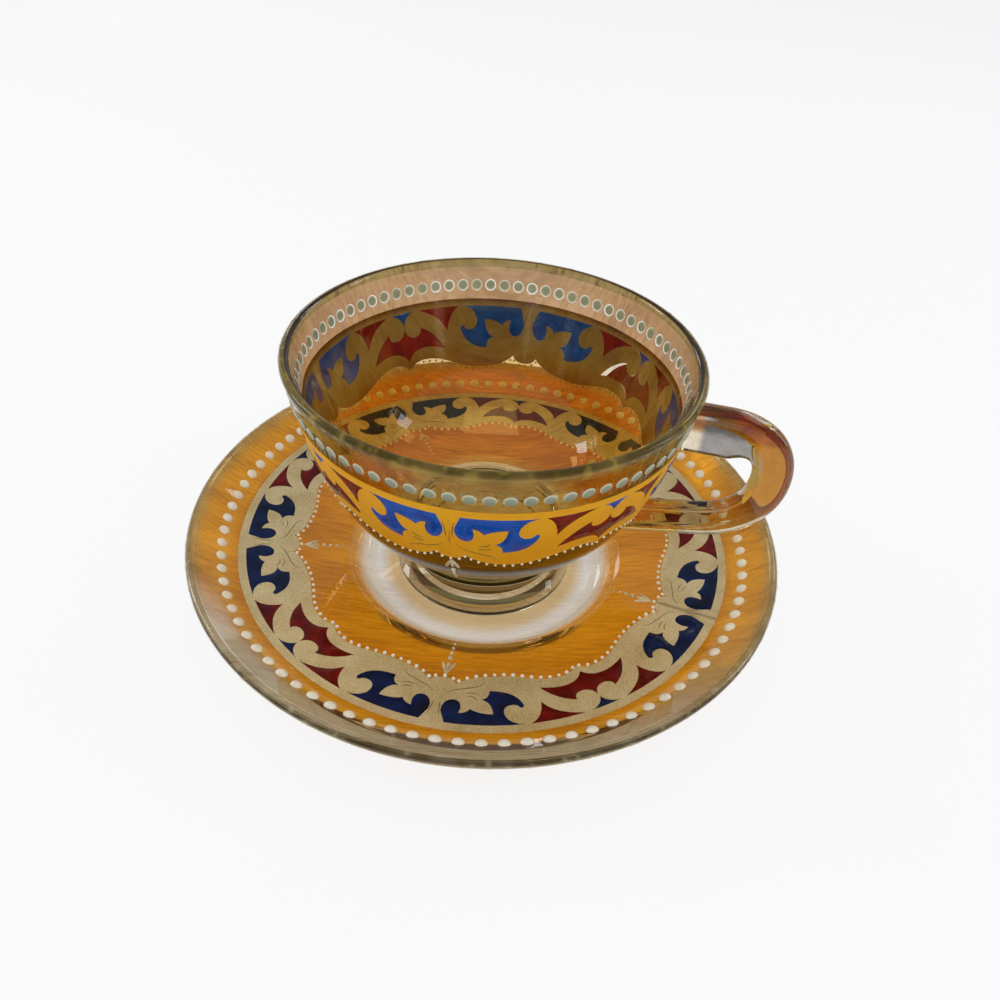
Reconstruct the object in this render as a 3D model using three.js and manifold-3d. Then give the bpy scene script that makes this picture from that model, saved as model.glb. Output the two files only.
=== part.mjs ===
// A glass teacup on its saucer, both with a gilt scroll band that holds blue and ruby enamel panels.
// Millimetres, +Z up. The origin is the middle of the saucer's ground base, and the handle points along +X.

import * as THREE from 'three';
import { mergeVertices } from 'three/addons/utils/BufferGeometryUtils.js';
import Module from 'manifold-3d';

const wasm = await Module();
wasm.setup();

// Saucer
const SAUCER_RIM_RADIUS = 70;
const SAUCER_HEIGHT = 19;
const SAUCER_FLOOR = 4;
const SAUCER_WALL = 3;
const SAUCER_LIP = 2.2;
const SAUCER_FLANGE = 9.7;
const SAUCER_BASE_INSET = 11;
const BRIM_INNER_HEIGHT = 9.45;
const BRIM_OUTER_HEIGHT = 13.05;

// Cup, with heights above the base of its foot
const CUP_HEIGHT = 60.3;
const CUP_RIM_RADIUS = 44.2;
const BOWL_BOTTOM = 11.4;
const BOWL_WALL = 2;
const BOWL_FLOOR = 4.4;
const BOWL_BELLY_REACH = 37;
const BOWL_FLARE_REACH = 38;
const BOWL_FLARE_HEIGHT = 33.8;
const BELLY_SHARE = 0.615;
const BAND_SHARE = 0.885;

// Foot
const FOOT_RADIUS = 21.6;
const FOOT_NECK_RADIUS = 17.5;
const FOOT_EDGE = 1.6;
const FOOT_WAIST_RADIUS = 16.6;
const FOOT_WAIST_HEIGHT = 5;
const FOOT_RECESS_RADIUS = 14.5;
const FOOT_RECESS = 1.2;
const FOOT_CHAMFER = 0.8;

// Handle, a flat ring of glass in the XZ plane, with its reaches beyond the cup's rim. It is deepest at its
// upper root, and its sides are pinched thin towards the hole.
const HANDLE_REACH = 21.7;
const HANDLE_LEG_REACH = 5.8;
const HANDLE_DROP = 5.3;
const HANDLE_LEG_RISE = 9.9;
const HANDLE_END_SHARE = 0.54;
const HANDLE_HEEL_REACH = 3.5;
const HANDLE_HEEL_SINK = 0.8;
const HANDLE_BAND = 8.5;
const HANDLE_ROOT_BAND = 11.8;
const HANDLE_ROOT_REACH = 8;
const HANDLE_THICKNESS = 5.2;
const HANDLE_PINCH = 2.6;
const HANDLE_BEVEL = 1.5;
const HANDLE_ROOT_FACE = 3.4;

// Clearances
const SEAT_GAP = 0.1;
const SEAM_GAP = 0.2;
const LAYER_GAP = 0.05;
const PANEL_GAP = 0.1;
const WELL_MARGIN = 5.4;
const BRIM_MARGIN = 8;

// Fired layers
const GILDING = 0.15;
const ENAMEL = 0.25;
const LIP_GILDING_DROP = 1.4;

// Scroll band: the gold line, the depth from the line to the scalloped edge, and the repeats
const SAUCER_LINE_MARGIN = 0.95;
const SAUCER_LINE = 1.85;
const SAUCER_BAND = 12;
const SAUCER_REPEATS = 5;
const SAUCER_TURN_DEGREES = -13.9;
const CUP_LINE_DROP = 10.1;
const CUP_LINE = 1.8;
const CUP_BAND = 13.8;
const CUP_PALMETTES = [0, 91, 184, 273];
const CUP_HEARTS = [42, 138, 230, 318];
const LOBE_SHARE = 1.11;
const BAND_REACH_SHARE = 1.13;

// Smoothness
const TURN_STEPS = 36;
const BOWL_STEPS = 8;
const BELLY_STEPS = 6;
const CURVE_STEPS = 4;
const LIP_STEPS = 4;
const SCROLL_STEPS = 3;
const CORNER_STEPS = 2;
const HANDLE_STEPS = 8;
const HANDLE_EDGE_STEPS = 2;

const cupBase = SAUCER_FLOOR + SEAT_GAP;
const cupLineTop = CUP_HEIGHT - CUP_LINE_DROP;
const wellRadius = FOOT_RADIUS + WELL_MARGIN;
const brimOuterRadius = SAUCER_RIM_RADIUS - SAUCER_FLANGE;
const saucerLineOuter = brimOuterRadius - SAUCER_LINE_MARGIN;
const saucerLineInner = saucerLineOuter - SAUCER_LINE;
const saucerBandInner = saucerLineInner - BAND_REACH_SHARE * SAUCER_BAND;
const brimInnerRadius = saucerBandInner - BRIM_MARGIN;
const saucerBaseRadius = brimInnerRadius - SAUCER_BASE_INSET;

const point = (x, y) => new THREE.Vector2(x, y);
const glass = { roughness: 0.05, metalness: 0, transparent: true, opacity: 0.45 };
const materials = {
  saucerGlass: new THREE.MeshStandardMaterial({ color: 0xd08a34, ...glass }),
  bowlGlass: new THREE.MeshStandardMaterial({ color: 0xc9974e, ...glass }),
  footGlass: new THREE.MeshStandardMaterial({ color: 0xd9d2c4, ...glass }),
  handleGlass: new THREE.MeshStandardMaterial({ color: 0xb87a32, ...glass }),
  gilding: new THREE.MeshStandardMaterial({ color: 0xc2a760, roughness: 0.45, metalness: 0.9 }),
  wornGilding: new THREE.MeshStandardMaterial({ color: 0x5a4a22, roughness: 0.4, metalness: 0.8 }),
  blueEnamel: new THREE.MeshStandardMaterial({ color: 0x0c2f78, roughness: 0.15, metalness: 0 }),
  rubyEnamel: new THREE.MeshStandardMaterial({ color: 0x7a0c10, roughness: 0.15, metalness: 0 }),
};

// Solids

// Keeps the positions alone, joins shared vertices and drops triangles that closed up on the axis.
function weld(geometry) {
  const bare = new THREE.BufferGeometry();
  bare.setAttribute('position', geometry.getAttribute('position').clone());
  bare.setIndex(geometry.getIndex());
  const joined = mergeVertices(bare, 1e-4);
  const corners = joined.getIndex().array;
  const kept = [];
  for (let i = 0; i < corners.length; i += 3) {
    const [a, b, c] = corners.subarray(i, i + 3);
    if (a !== b && b !== c && c !== a) kept.push(a, b, c);
  }
  joined.setIndex(kept);
  return joined;
}

function solid(geometry) {
  const welded = weld(geometry);
  return new wasm.Manifold(new wasm.Mesh({
    numProp: 3,
    vertProperties: new Float32Array(welded.getAttribute('position').array),
    triVerts: new Uint32Array(welded.getIndex().array),
  }));
}

function surface(body) {
  const mesh = body.getMesh();
  const geometry = new THREE.BufferGeometry();
  geometry.setAttribute('position', new THREE.BufferAttribute(new Float32Array(mesh.vertProperties), 3));
  geometry.setIndex(new THREE.BufferAttribute(new Uint32Array(mesh.triVerts), 1));
  geometry.computeVertexNormals();
  return geometry;
}

function revolve(profile) {
  const geometry = new THREE.LatheGeometry(profile, TURN_STEPS);
  geometry.rotateX(Math.PI / 2);
  return geometry;
}

// A ring whose section closes on itself.
const ring = (section) => revolve([...section, section[0]]);

const bezier = (a, b, c, d, steps) => new THREE.CubicBezierCurve(a, b, c, d).getPoints(steps);
const bend = (a, b, c, steps) => new THREE.QuadraticBezierCurve(a, b, c).getPoints(steps);

function arc(centre, radius, fromDegrees, toDegrees, steps) {
  const points = [];
  for (let i = 0; i <= steps; i += 1) {
    const angle = THREE.MathUtils.degToRad(fromDegrees + (toDegrees - fromDegrees) * i / steps);
    points.push(point(centre.x + radius * Math.cos(angle), centre.y + radius * Math.sin(angle)));
  }
  return points;
}

// Saucer glass

const brimSlope = (BRIM_OUTER_HEIGHT - BRIM_INNER_HEIGHT) / (brimOuterRadius - brimInnerRadius);
const brimHeight = (radius) => BRIM_INNER_HEIGHT + brimSlope * (radius - brimInnerRadius);
const saucerLipCentre = point(SAUCER_RIM_RADIUS - SAUCER_LIP / 2, SAUCER_HEIGHT - SAUCER_LIP / 2);

function saucerPlate() {
  const wellRun = (brimInnerRadius - wellRadius) / 2;
  const wellSide = bezier(
    point(brimInnerRadius, BRIM_INNER_HEIGHT),
    point(brimInnerRadius - wellRun, brimHeight(brimInnerRadius - wellRun)),
    point(wellRadius + wellRun, SAUCER_FLOOR),
    point(wellRadius, SAUCER_FLOOR),
    CURVE_STEPS,
  );
  const underBrim = point(brimInnerRadius + SAUCER_WALL / 2, BRIM_INNER_HEIGHT - SAUCER_WALL);
  const underRun = (underBrim.x - saucerBaseRadius) / 2;
  const underside = bezier(
    point(saucerBaseRadius, 0),
    point(saucerBaseRadius + underRun, 0),
    point(underBrim.x - underRun, underBrim.y - brimSlope * underRun),
    underBrim,
    CURVE_STEPS,
  );
  const underFlange = point(brimOuterRadius + SAUCER_WALL / 2, BRIM_OUTER_HEIGHT - SAUCER_WALL);
  return revolve([
    point(0, 0),
    ...underside,
    underFlange,
    ...arc(saucerLipCentre, SAUCER_LIP / 2, 0, 180, LIP_STEPS),
    point(brimOuterRadius, BRIM_OUTER_HEIGHT),
    ...wellSide,
    point(0, SAUCER_FLOOR),
  ]);
}

// Bowl

const cupLipCentre = point(CUP_RIM_RADIUS - BOWL_WALL / 2, CUP_HEIGHT - BOWL_WALL / 2);
const bowlCurve = new THREE.CubicBezierCurve(
  point(0, BOWL_BOTTOM),
  point(BOWL_BELLY_REACH, BOWL_BOTTOM),
  point(BOWL_FLARE_REACH, BOWL_FLARE_HEIGHT),
  point(CUP_RIM_RADIUS, cupLipCentre.y),
);

// Short facets round the belly, then one up the wall under the band and one from there to the lip.
const bowlOutside = [
  ...[...Array(BELLY_STEPS).keys()].map((i) => bowlCurve.getPoint(BELLY_SHARE * i / BELLY_STEPS)),
  ...[BELLY_SHARE, BAND_SHARE, 1].map((share) => bowlCurve.getPoint(share)),
];

// The bowl's outside radius at a height, read along its facets.
function bowlRadius(height) {
  const next = bowlOutside.findIndex((p) => p.y >= height);
  const above = bowlOutside[Math.max(next, 1)];
  const below = bowlOutside[Math.max(next, 1) - 1];
  return below.x + (above.x - below.x) * (height - below.y) / (above.y - below.y);
}

// The bowl's outside height at a radius, read along its facets.
function bowlHeight(radius) {
  const next = Math.max(bowlOutside.findIndex((p) => p.x >= radius), 1);
  const [inner, outer] = [bowlOutside[next - 1], bowlOutside[next]];
  return inner.y + (outer.y - inner.y) * (radius - inner.x) / (outer.x - inner.x);
}

function cupBowl() {
  const inside = bezier(
    point(CUP_RIM_RADIUS - BOWL_WALL, cupLipCentre.y),
    point(BOWL_FLARE_REACH - BOWL_WALL, BOWL_FLARE_HEIGHT + BOWL_WALL),
    point(BOWL_BELLY_REACH - BOWL_WALL, BOWL_BOTTOM + BOWL_FLOOR),
    point(0, BOWL_BOTTOM + BOWL_FLOOR),
    BOWL_STEPS,
  );
  const lip = arc(cupLipCentre, BOWL_WALL / 2, 0, 180, LIP_STEPS).slice(1, -1);
  return revolve([...bowlOutside, ...lip, ...inside]);
}

// Everything inside the bowl's outer face, grown by a gap. It trims what is joined to the bowl.
function bowlEnvelope(gap) {
  const grown = bowlOutside.map((p) => point(p.x > 0 ? p.x + gap : 0, p.y - gap));
  const top = point(CUP_RIM_RADIUS + gap, CUP_HEIGHT + gap);
  return revolve([...grown, top, point(0, top.y)]);
}

// Foot: a flared drum with a ground, recessed base, dished on top to seat the bowl.
function cupFoot() {
  const neck = point(FOOT_NECK_RADIUS, bowlHeight(FOOT_NECK_RADIUS) - SEAM_GAP);
  const seat = bowlOutside.filter((p) => p.x < FOOT_NECK_RADIUS).reverse();
  return revolve([
    point(0, FOOT_RECESS),
    point(FOOT_RECESS_RADIUS, FOOT_RECESS),
    point(FOOT_RECESS_RADIUS + FOOT_RECESS, 0),
    point(FOOT_RADIUS - FOOT_CHAMFER, 0),
    point(FOOT_RADIUS, FOOT_CHAMFER),
    ...bend(point(FOOT_RADIUS, FOOT_EDGE), point(FOOT_WAIST_RADIUS, FOOT_WAIST_HEIGHT), neck, CURVE_STEPS),
    ...seat.map((p) => point(p.x, p.y - SEAM_GAP)),
  ]);
}

// Handle

// The ring's outer outline, from inside the bowl's wall at the top to inside it at the heel.
function handleOutline() {
  const topHeight = CUP_HEIGHT - HANDLE_DROP;
  const legHeight = BOWL_BOTTOM + HANDLE_LEG_RISE;
  const heelRadius = FOOT_NECK_RADIUS + HANDLE_HEEL_REACH;
  const root = point(CUP_RIM_RADIUS - HANDLE_BAND, topHeight);
  const top = point(CUP_RIM_RADIUS + HANDLE_LEG_REACH, topHeight);
  const end = point(CUP_RIM_RADIUS + HANDLE_REACH, legHeight + HANDLE_END_SHARE * (topHeight - legHeight));
  const leg = point(top.x, legHeight);
  const heel = point(heelRadius, bowlHeight(heelRadius) + HANDLE_HEEL_SINK);
  const shoulder = (end.x - top.x) * 0.6;
  const drop = (top.y - end.y) * 0.6;
  const rise = (end.y - leg.y) * 0.5;
  const legSlope = (leg.y - heel.y) / (leg.x - heel.x);
  const outer = bezier(top, point(top.x + shoulder, top.y), point(end.x, end.y + drop), end, HANDLE_STEPS);
  const under = bezier(
    end,
    point(end.x, end.y - rise),
    point(leg.x + shoulder, leg.y + shoulder * legSlope),
    leg,
    HANDLE_STEPS,
  );
  return [root, ...outer, ...under.slice(1), heel];
}

// Skins a run of sections that have the same number of points, and closes both ends. Each section is drawn
// flat, and place puts its points in space.
function loft(sections, place) {
  const count = sections[0].length;
  const last = sections.length - 1;
  const positions = sections.flatMap((section, i) => section.flatMap((p) => place(p, i).toArray()));
  const corners = [];
  for (let i = 0; i < last; i += 1) {
    for (let j = 0; j < count; j += 1) {
      const [a, b] = [i * count + j, i * count + (j + 1) % count];
      corners.push(a, a + count, b, b, a + count, b + count);
    }
  }
  const cap = (i) => THREE.ShapeUtils.triangulateShape(sections[i], []).map((face) => {
    const upright = THREE.ShapeUtils.area(face.map((j) => sections[i][j])) > 0;
    return (upright === (i === last) ? face : [...face].reverse()).map((j) => i * count + j);
  });
  corners.push(...cap(0).flat(), ...cap(last).flat());
  const geometry = new THREE.BufferGeometry();
  geometry.setAttribute('position', new THREE.Float32BufferAttribute(positions, 3));
  geometry.setIndex(corners);
  return geometry;
}

// The ring's section as depth from its outer edge and distance from its middle plane: a round outer edge,
// flat sides, then the pinch that thins it towards the hole. The root's share is 1 at the upper root.
function handleSection(rootShare, growth) {
  const half = HANDLE_THICKNESS / 2;
  const thin = HANDLE_PINCH / 2;
  const band = THREE.MathUtils.lerp(HANDLE_BAND, HANDLE_ROOT_BAND, rootShare);
  const face = THREE.MathUtils.lerp(HANDLE_BAND - HANDLE_BEVEL, HANDLE_ROOT_FACE, rootShare);
  const hollow = THREE.MathUtils.lerp(half, thin, 0.75);
  const side = [
    ...arc(point(half, 0), half + growth, 180, 90, HANDLE_EDGE_STEPS),
    point(face, half + growth),
    point((face + band) / 2, hollow + growth),
    point(band + growth - thin / 2, thin + growth),
    point(band + growth, thin / 2 + growth),
  ];
  return [...side, ...side.slice(1).reverse().map((p) => point(p.x, -p.y))];
}

// The whole ring before the bowl trims it. A positive growth makes it the cutter that clears its root.
function handleRing(growth) {
  const outline = handleOutline();
  const runs = outline.map((p, i) => {
    const ahead = outline[Math.min(i + 1, outline.length - 1)];
    const behind = outline[Math.max(i - 1, 0)];
    return ahead.clone().sub(behind).normalize();
  });
  const rootEnd = CUP_RIM_RADIUS + HANDLE_ROOT_REACH;
  const ringEnd = CUP_RIM_RADIUS + HANDLE_REACH;
  const onUpperHalf = (i) => i <= HANDLE_STEPS + 1;
  const sections = outline.map((p, i) => {
    const rootShare = onUpperHalf(i) ? 1 - THREE.MathUtils.smoothstep(p.x, rootEnd, ringEnd) : 0;
    return handleSection(rootShare, growth);
  });
  const place = (p, i) => new THREE.Vector3(
    outline[i].x + runs[i].y * p.x,
    p.y,
    outline[i].y - runs[i].x * p.x,
  );
  return solid(loft(sections, place));
}

const cupHandle = () => handleRing(0).subtract(solid(bowlEnvelope(SEAM_GAP)));

// Scroll band outlines. A half repeat runs from a palmette's axis (0) to a heart's axis (1), and depth
// runs from the gold line (0) to the mean of the scalloped edge (1).

function scallopedEdge() {
  const edge = new THREE.Path();
  edge.moveTo(0, 1);
  edge.quadraticCurveTo(0.075, 1, 0.095, 0.88);
  edge.bezierCurveTo(0.15, 1.02, 0.25, LOBE_SHARE, 0.4, LOBE_SHARE);
  edge.bezierCurveTo(0.58, LOBE_SHARE, 0.68, 0.89, 0.85, 0.89);
  edge.quadraticCurveTo(0.94, 0.89, 1, 1.015);
  return edge.getPoints(SCROLL_STEPS);
}

// Blue panel: along the gold line, round the scroll's end, back under it, then the leaves and the hook.
function bluePanelOutline() {
  const outline = new THREE.Path();
  outline.moveTo(0.07, 0);
  outline.lineTo(0.29, 0);
  outline.lineTo(0.51, 0);
  outline.bezierCurveTo(0.385, 0.05, 0.375, 0.45, 0.47, 0.435);
  outline.lineTo(0.515, 0.352);
  outline.lineTo(0.537, 0.4);
  outline.quadraticCurveTo(0.505, 0.76, 0.327, 0.765);
  outline.lineTo(0.312, 0.628);
  outline.lineTo(0.27, 0.565);
  outline.quadraticCurveTo(0.34, 0.52, 0.343, 0.24);
  outline.lineTo(0.262, 0.271);
  outline.lineTo(0.205, 0.345);
  outline.lineTo(0.14, 0.235);
  outline.bezierCurveTo(0.19, 0.62, 0.02, 0.62, 0.035, 0.25);
  return outline.getPoints(SCROLL_STEPS);
}

// Ruby heart, drawn across its axis at 1.
function heartOutline() {
  const side = new THREE.Path();
  side.moveTo(1, 0.875);
  side.quadraticCurveTo(0.92, 0.55, 0.672, 0.75);
  side.quadraticCurveTo(0.75, 0.42, 0.865, 0.31);
  side.bezierCurveTo(0.85, 0.5, 0.99, 0.53, 1, 0.27);
  const half = side.getPoints(CORNER_STEPS);
  const mirrored = half.slice(1, -1).reverse().map((p) => point(2 - p.x, p.y));
  return [...half, ...mirrored];
}

// Ruby corner between two scrolls, against the gold line.
function cornerOutline() {
  const outline = new THREE.Path();
  outline.moveTo(0.548, 0);
  outline.quadraticCurveTo(0.7, 0, 0.87, 0);
  outline.quadraticCurveTo(0.7, 0.13, 0.645, 0.44);
  outline.lineTo(0.61, 0.16);
  return outline.getPoints(CORNER_STEPS);
}

// Angle at a place across a half repeat, from the palmette that it starts at. Every palmette has two
// halves, an even one that runs on to the next heart and an odd one that runs back to the heart before.
function bandAngle(band, half, across) {
  const repeats = band.palmettes.length;
  const palmette = band.palmettes[Math.ceil(half / 2) % repeats];
  const heart = band.hearts[Math.floor(half / 2)];
  const wholeTurn = 360;
  const run = THREE.MathUtils.euclideanModulo(heart - palmette + wholeTurn / 2, wholeTurn) - wholeTurn / 2;
  return THREE.MathUtils.degToRad(palmette + run * across);
}

const saucerRepeats = [...Array(SAUCER_REPEATS).keys()];
const saucerStep = 360 / SAUCER_REPEATS;

// Draws an outline inwards by a gap.
function inset(outline, gap) {
  const loop = THREE.ShapeUtils.isClockWise(outline) ? [...outline].reverse() : outline;
  return loop.map((p, i) => {
    const before = loop[(i + loop.length - 1) % loop.length];
    const after = loop[(i + 1) % loop.length];
    const into = p.clone().sub(before).normalize();
    const away = after.clone().sub(p).normalize();
    const normal = point(-into.y - away.y, into.x + away.x).normalize();
    const spread = Math.max(Math.abs(normal.dot(point(-into.y, into.x))), 0.4);
    return p.clone().addScaledVector(normal, gap / spread);
  });
}

function prism(outline, depth) {
  return new THREE.ExtrudeGeometry(new THREE.Shape(outline), { depth, bevelEnabled: false });
}

// The two bands: the layer that each is cut from, and how an outline becomes a cutter through it.
const saucerBand = {
  palmettes: saucerRepeats.map((i) => SAUCER_TURN_DEGREES + saucerStep * i),
  hearts: saucerRepeats.map((i) => SAUCER_TURN_DEGREES + saucerStep * (i + 0.5)),
  // Drawn in plan and pushed straight down through the brim.
  cutter(outline, half, gap) {
    const plan = outline.map((p) => {
      const angle = bandAngle(saucerBand, half, p.x);
      const radius = saucerLineInner - p.y * SAUCER_BAND;
      return point(radius * Math.cos(angle), radius * Math.sin(angle));
    });
    return solid(prism(inset(plan, gap), SAUCER_HEIGHT));
  },
  layer(thickness) {
    const low = (radius) => point(radius, brimHeight(radius) + LAYER_GAP);
    const high = (radius) => point(radius, brimHeight(radius) + LAYER_GAP + thickness);
    return solid(ring([
      low(saucerBandInner),
      low(saucerLineOuter),
      high(saucerLineOuter),
      high(saucerBandInner),
    ]));
  },
};

const cupBand = {
  palmettes: CUP_PALMETTES,
  hearts: CUP_HEARTS,
  lineBottom: cupLineTop - CUP_LINE,
  // Drawn as seen square on from outside and pushed straight in through the wall.
  cutter(outline, half, gap) {
    const angles = outline.map((p) => bandAngle(cupBand, half, p.x));
    const facing = (Math.min(...angles) + Math.max(...angles)) / 2;
    const view = outline.map((p, i) => {
      const height = cupBand.lineBottom - p.y * CUP_BAND;
      return point((bowlRadius(height) + LAYER_GAP) * Math.sin(angles[i] - facing), height);
    });
    const geometry = prism(inset(view, gap), CUP_RIM_RADIUS);
    geometry.translate(0, 0, CUP_RIM_RADIUS / 2);
    geometry.applyMatrix4(new THREE.Matrix4().makeBasis(
      new THREE.Vector3(-Math.sin(facing), Math.cos(facing), 0),
      new THREE.Vector3(0, 0, 1),
      new THREE.Vector3(Math.cos(facing), Math.sin(facing), 0),
    ));
    return solid(geometry);
  },
  layer(thickness) {
    const reach = cupBand.lineBottom - BAND_REACH_SHARE * CUP_BAND;
    const between = bowlOutside.map((p) => p.y).filter((height) => height > reach && height < cupLineTop);
    const heights = [reach, ...between, cupLineTop];
    const side = (offset) => heights.map((height) => point(bowlRadius(height) + offset, height));
    return solid(ring([...side(LAYER_GAP + thickness), ...side(LAYER_GAP).reverse()]));
  },
};

// What lies beyond the scalloped edge of one half repeat, with a small overlap on its neighbours.
function edgeOutline() {
  const edge = scallopedEdge();
  const overlap = 0.01;
  const beyond = 1.5;
  return [
    ...edge,
    point(1 + overlap, edge.at(-1).y),
    point(1 + overlap, beyond),
    point(-overlap, beyond),
    point(-overlap, edge[0].y),
  ];
}

const everyHalf = (band) => [...Array(2 * band.palmettes.length).keys()];
const evenHalves = (band) => everyHalf(band).filter((half) => half % 2 === 0);

// The openings of the fretwork, each with its enamel's colour and the halves that it lies on.
const openings = [
  { kind: 'blue_panel', outline: bluePanelOutline(), halves: everyHalf, material: materials.blueEnamel },
  { kind: 'ruby_heart', outline: heartOutline(), halves: evenHalves, material: materials.rubyEnamel },
  { kind: 'ruby_corner', outline: cornerOutline(), halves: everyHalf, material: materials.rubyEnamel },
];

function goldBand(band) {
  let gold = band.layer(GILDING);
  for (const half of everyHalf(band)) gold = gold.subtract(band.cutter(edgeOutline(), half, 0));
  for (const { outline, halves } of openings) {
    for (const half of halves(band)) gold = gold.subtract(band.cutter(outline, half, 0));
  }
  return gold;
}

// Lip gilding: a thin ring over the outer half of a lip, run a little way down the outside.
function lipGilding(centre, radius, drop) {
  const inner = arc(centre, radius + LAYER_GAP, 0, 90, LIP_STEPS / 2);
  const outer = arc(centre, radius + LAYER_GAP + GILDING, 90, 0, LIP_STEPS / 2);
  return ring([...inner, ...outer, ...drop].reverse());
}

// The strip of the bowl's outside under the lip, from its outer face to its inner.
function cupLipDrop() {
  const low = cupLipCentre.y - LIP_GILDING_DROP;
  const radius = bowlRadius(low) + LAYER_GAP;
  return [point(radius + GILDING, low), point(radius, low)];
}

// Assembly

function piece(name, geometry, material) {
  const mesh = new THREE.Mesh(geometry, material.clone());
  mesh.name = name;
  return mesh;
}

function enamelPanels(prefix, band, clearOf) {
  const layer = band.layer(ENAMEL);
  const panels = [];
  for (const { kind, outline, halves, material } of openings) {
    halves(band).forEach((half, i) => {
      let panel = layer.intersect(band.cutter(outline, half, PANEL_GAP));
      if (clearOf) panel = panel.subtract(clearOf);
      panels.push(piece(`${prefix}_${kind}_${i + 1}`, surface(panel), material));
    });
  }
  return panels;
}

const saucer = new THREE.Group();
saucer.add(
  piece('saucer_plate', weld(saucerPlate()), materials.saucerGlass),
  piece('saucer_lip_gilding', weld(lipGilding(saucerLipCentre, SAUCER_LIP / 2, [])), materials.wornGilding),
  piece('saucer_gold_band', surface(goldBand(saucerBand)), materials.gilding),
  ...enamelPanels('saucer', saucerBand),
);

const cupLipGilding = lipGilding(cupLipCentre, BOWL_WALL / 2, cupLipDrop());
const handleClearance = handleRing(SEAM_GAP);
const cup = new THREE.Group();
cup.position.z = cupBase;
cup.add(
  piece('cup_bowl', weld(cupBowl()), materials.bowlGlass),
  piece('cup_foot', weld(cupFoot()), materials.footGlass),
  piece('cup_handle', surface(cupHandle()), materials.handleGlass),
  piece('cup_lip_gilding', weld(cupLipGilding), materials.wornGilding),
  piece('cup_gold_band', surface(goldBand(cupBand).subtract(handleClearance)), materials.gilding),
  ...enamelPanels('cup', cupBand, handleClearance),
);

const teacupAndSaucer = new THREE.Group();
teacupAndSaucer.add(saucer, cup);

export default teacupAndSaucer;
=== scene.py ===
# A glass teacup on its saucer, with gilt scroll bands, blue and ruby enamel and white enamel beads.
# Lengths are in millimetres until a mesh is made, and heights on the cup are above the base of its foot.

import math

import bmesh
import bpy
import numpy as np
from mathutils import Matrix, Vector
from mathutils.geometry import delaunay_2d_cdt


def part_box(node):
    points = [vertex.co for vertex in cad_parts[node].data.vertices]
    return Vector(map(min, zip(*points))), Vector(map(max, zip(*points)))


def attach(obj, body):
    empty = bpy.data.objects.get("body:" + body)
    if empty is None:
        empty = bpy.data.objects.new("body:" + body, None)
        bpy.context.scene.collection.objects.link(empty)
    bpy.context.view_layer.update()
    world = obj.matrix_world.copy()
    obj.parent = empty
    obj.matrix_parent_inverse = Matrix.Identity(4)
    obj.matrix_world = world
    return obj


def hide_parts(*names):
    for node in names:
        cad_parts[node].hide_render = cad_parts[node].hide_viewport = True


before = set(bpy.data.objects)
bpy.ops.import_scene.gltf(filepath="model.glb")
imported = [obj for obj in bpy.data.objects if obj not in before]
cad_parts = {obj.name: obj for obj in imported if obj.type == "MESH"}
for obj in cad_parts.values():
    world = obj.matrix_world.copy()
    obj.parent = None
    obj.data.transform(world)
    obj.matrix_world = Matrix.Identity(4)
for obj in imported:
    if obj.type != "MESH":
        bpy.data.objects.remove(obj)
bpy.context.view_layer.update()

MM = 0.001


def reach(node):
    """A CAD node's highest corner, in millimetres."""
    return np.array(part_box(node)[1]) / MM


def base(node):
    """A CAD node's lowest corner, in millimetres."""
    return np.array(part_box(node)[0]) / MM


# Sizes read from the frame
saucer_rim = reach("saucer_plate")[0]
saucer_height = reach("saucer_plate")[2]
saucer_line_outer = reach("saucer_gold_band")[0]
cup_base = base("cup_foot")[2]
cup_height = reach("cup_bowl")[2] - cup_base
cup_rim = reach("cup_bowl")[1]
cup_line_top = reach("cup_gold_band")[2] - cup_base
foot_radius = reach("cup_foot")[0]
handle_end = reach("cup_handle")[0]
handle_top = reach("cup_handle")[2] - cup_base
handle_half_thickness = reach("cup_handle")[1]

# Saucer profile
SAUCER_FLOOR = 4.0
SAUCER_WALL = 3.0
SAUCER_LIP = 2.2
SAUCER_FLANGE = 9.7
SAUCER_BASE_INSET = 11.0
BRIM_INNER_HEIGHT = 9.45
BRIM_OUTER_HEIGHT = 13.05
BRIM_MARGIN = 8.0
WELL_MARGIN = 5.4
KNEE = 1.6

# Cup profile
BOWL_BOTTOM = 11.4
BOWL_WALL = 2.0
BOWL_FLOOR = 4.4
BOWL_BELLY_REACH = 37.0
BOWL_FLARE_REACH = 38.0
BOWL_FLARE_HEIGHT = 33.8
FOOT_NECK_RADIUS = 17.5
FOOT_WAIST_RADIUS = 16.6
FOOT_WAIST_HEIGHT = 5.0
FOOT_EDGE = 1.6
FOOT_RECESS_RADIUS = 14.5
FOOT_RECESS = 1.2
FOOT_CHAMFER = 0.8
NECK_FILLET = 1.4

# Handle
HANDLE_LEG_REACH = 5.8
HANDLE_LEG_RISE = 9.9
HANDLE_END_SHARE = 0.54
HANDLE_HEEL_REACH = 3.5
HANDLE_HEEL_SINK = 0.8
HANDLE_SHOULDER = 0.6
HANDLE_SAG = 0.5
HANDLE_BAND = 8.5
HANDLE_ROOT_BAND = 11.8
HANDLE_ROOT_REACH = 8.0
HANDLE_PINCH = 2.6
HANDLE_BEVEL = 1.5
HANDLE_ROOT_FACE = 3.4
# Where the handle's grey tint of painted shade lies, round its hole
HANDLE_SHADE_MIDDLE = (46.0, 41.0)
HANDLE_SHADE_REACH = (12.9, 10.6)
HANDLE_SHADE_EDGE = (0.97, 1.05)
HANDLE_TINT_FROM = (0.3, 2.0)
HANDLE_AMBER_FROM = 28.0
HANDLE_AMBER_FULL = 34.0

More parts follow.
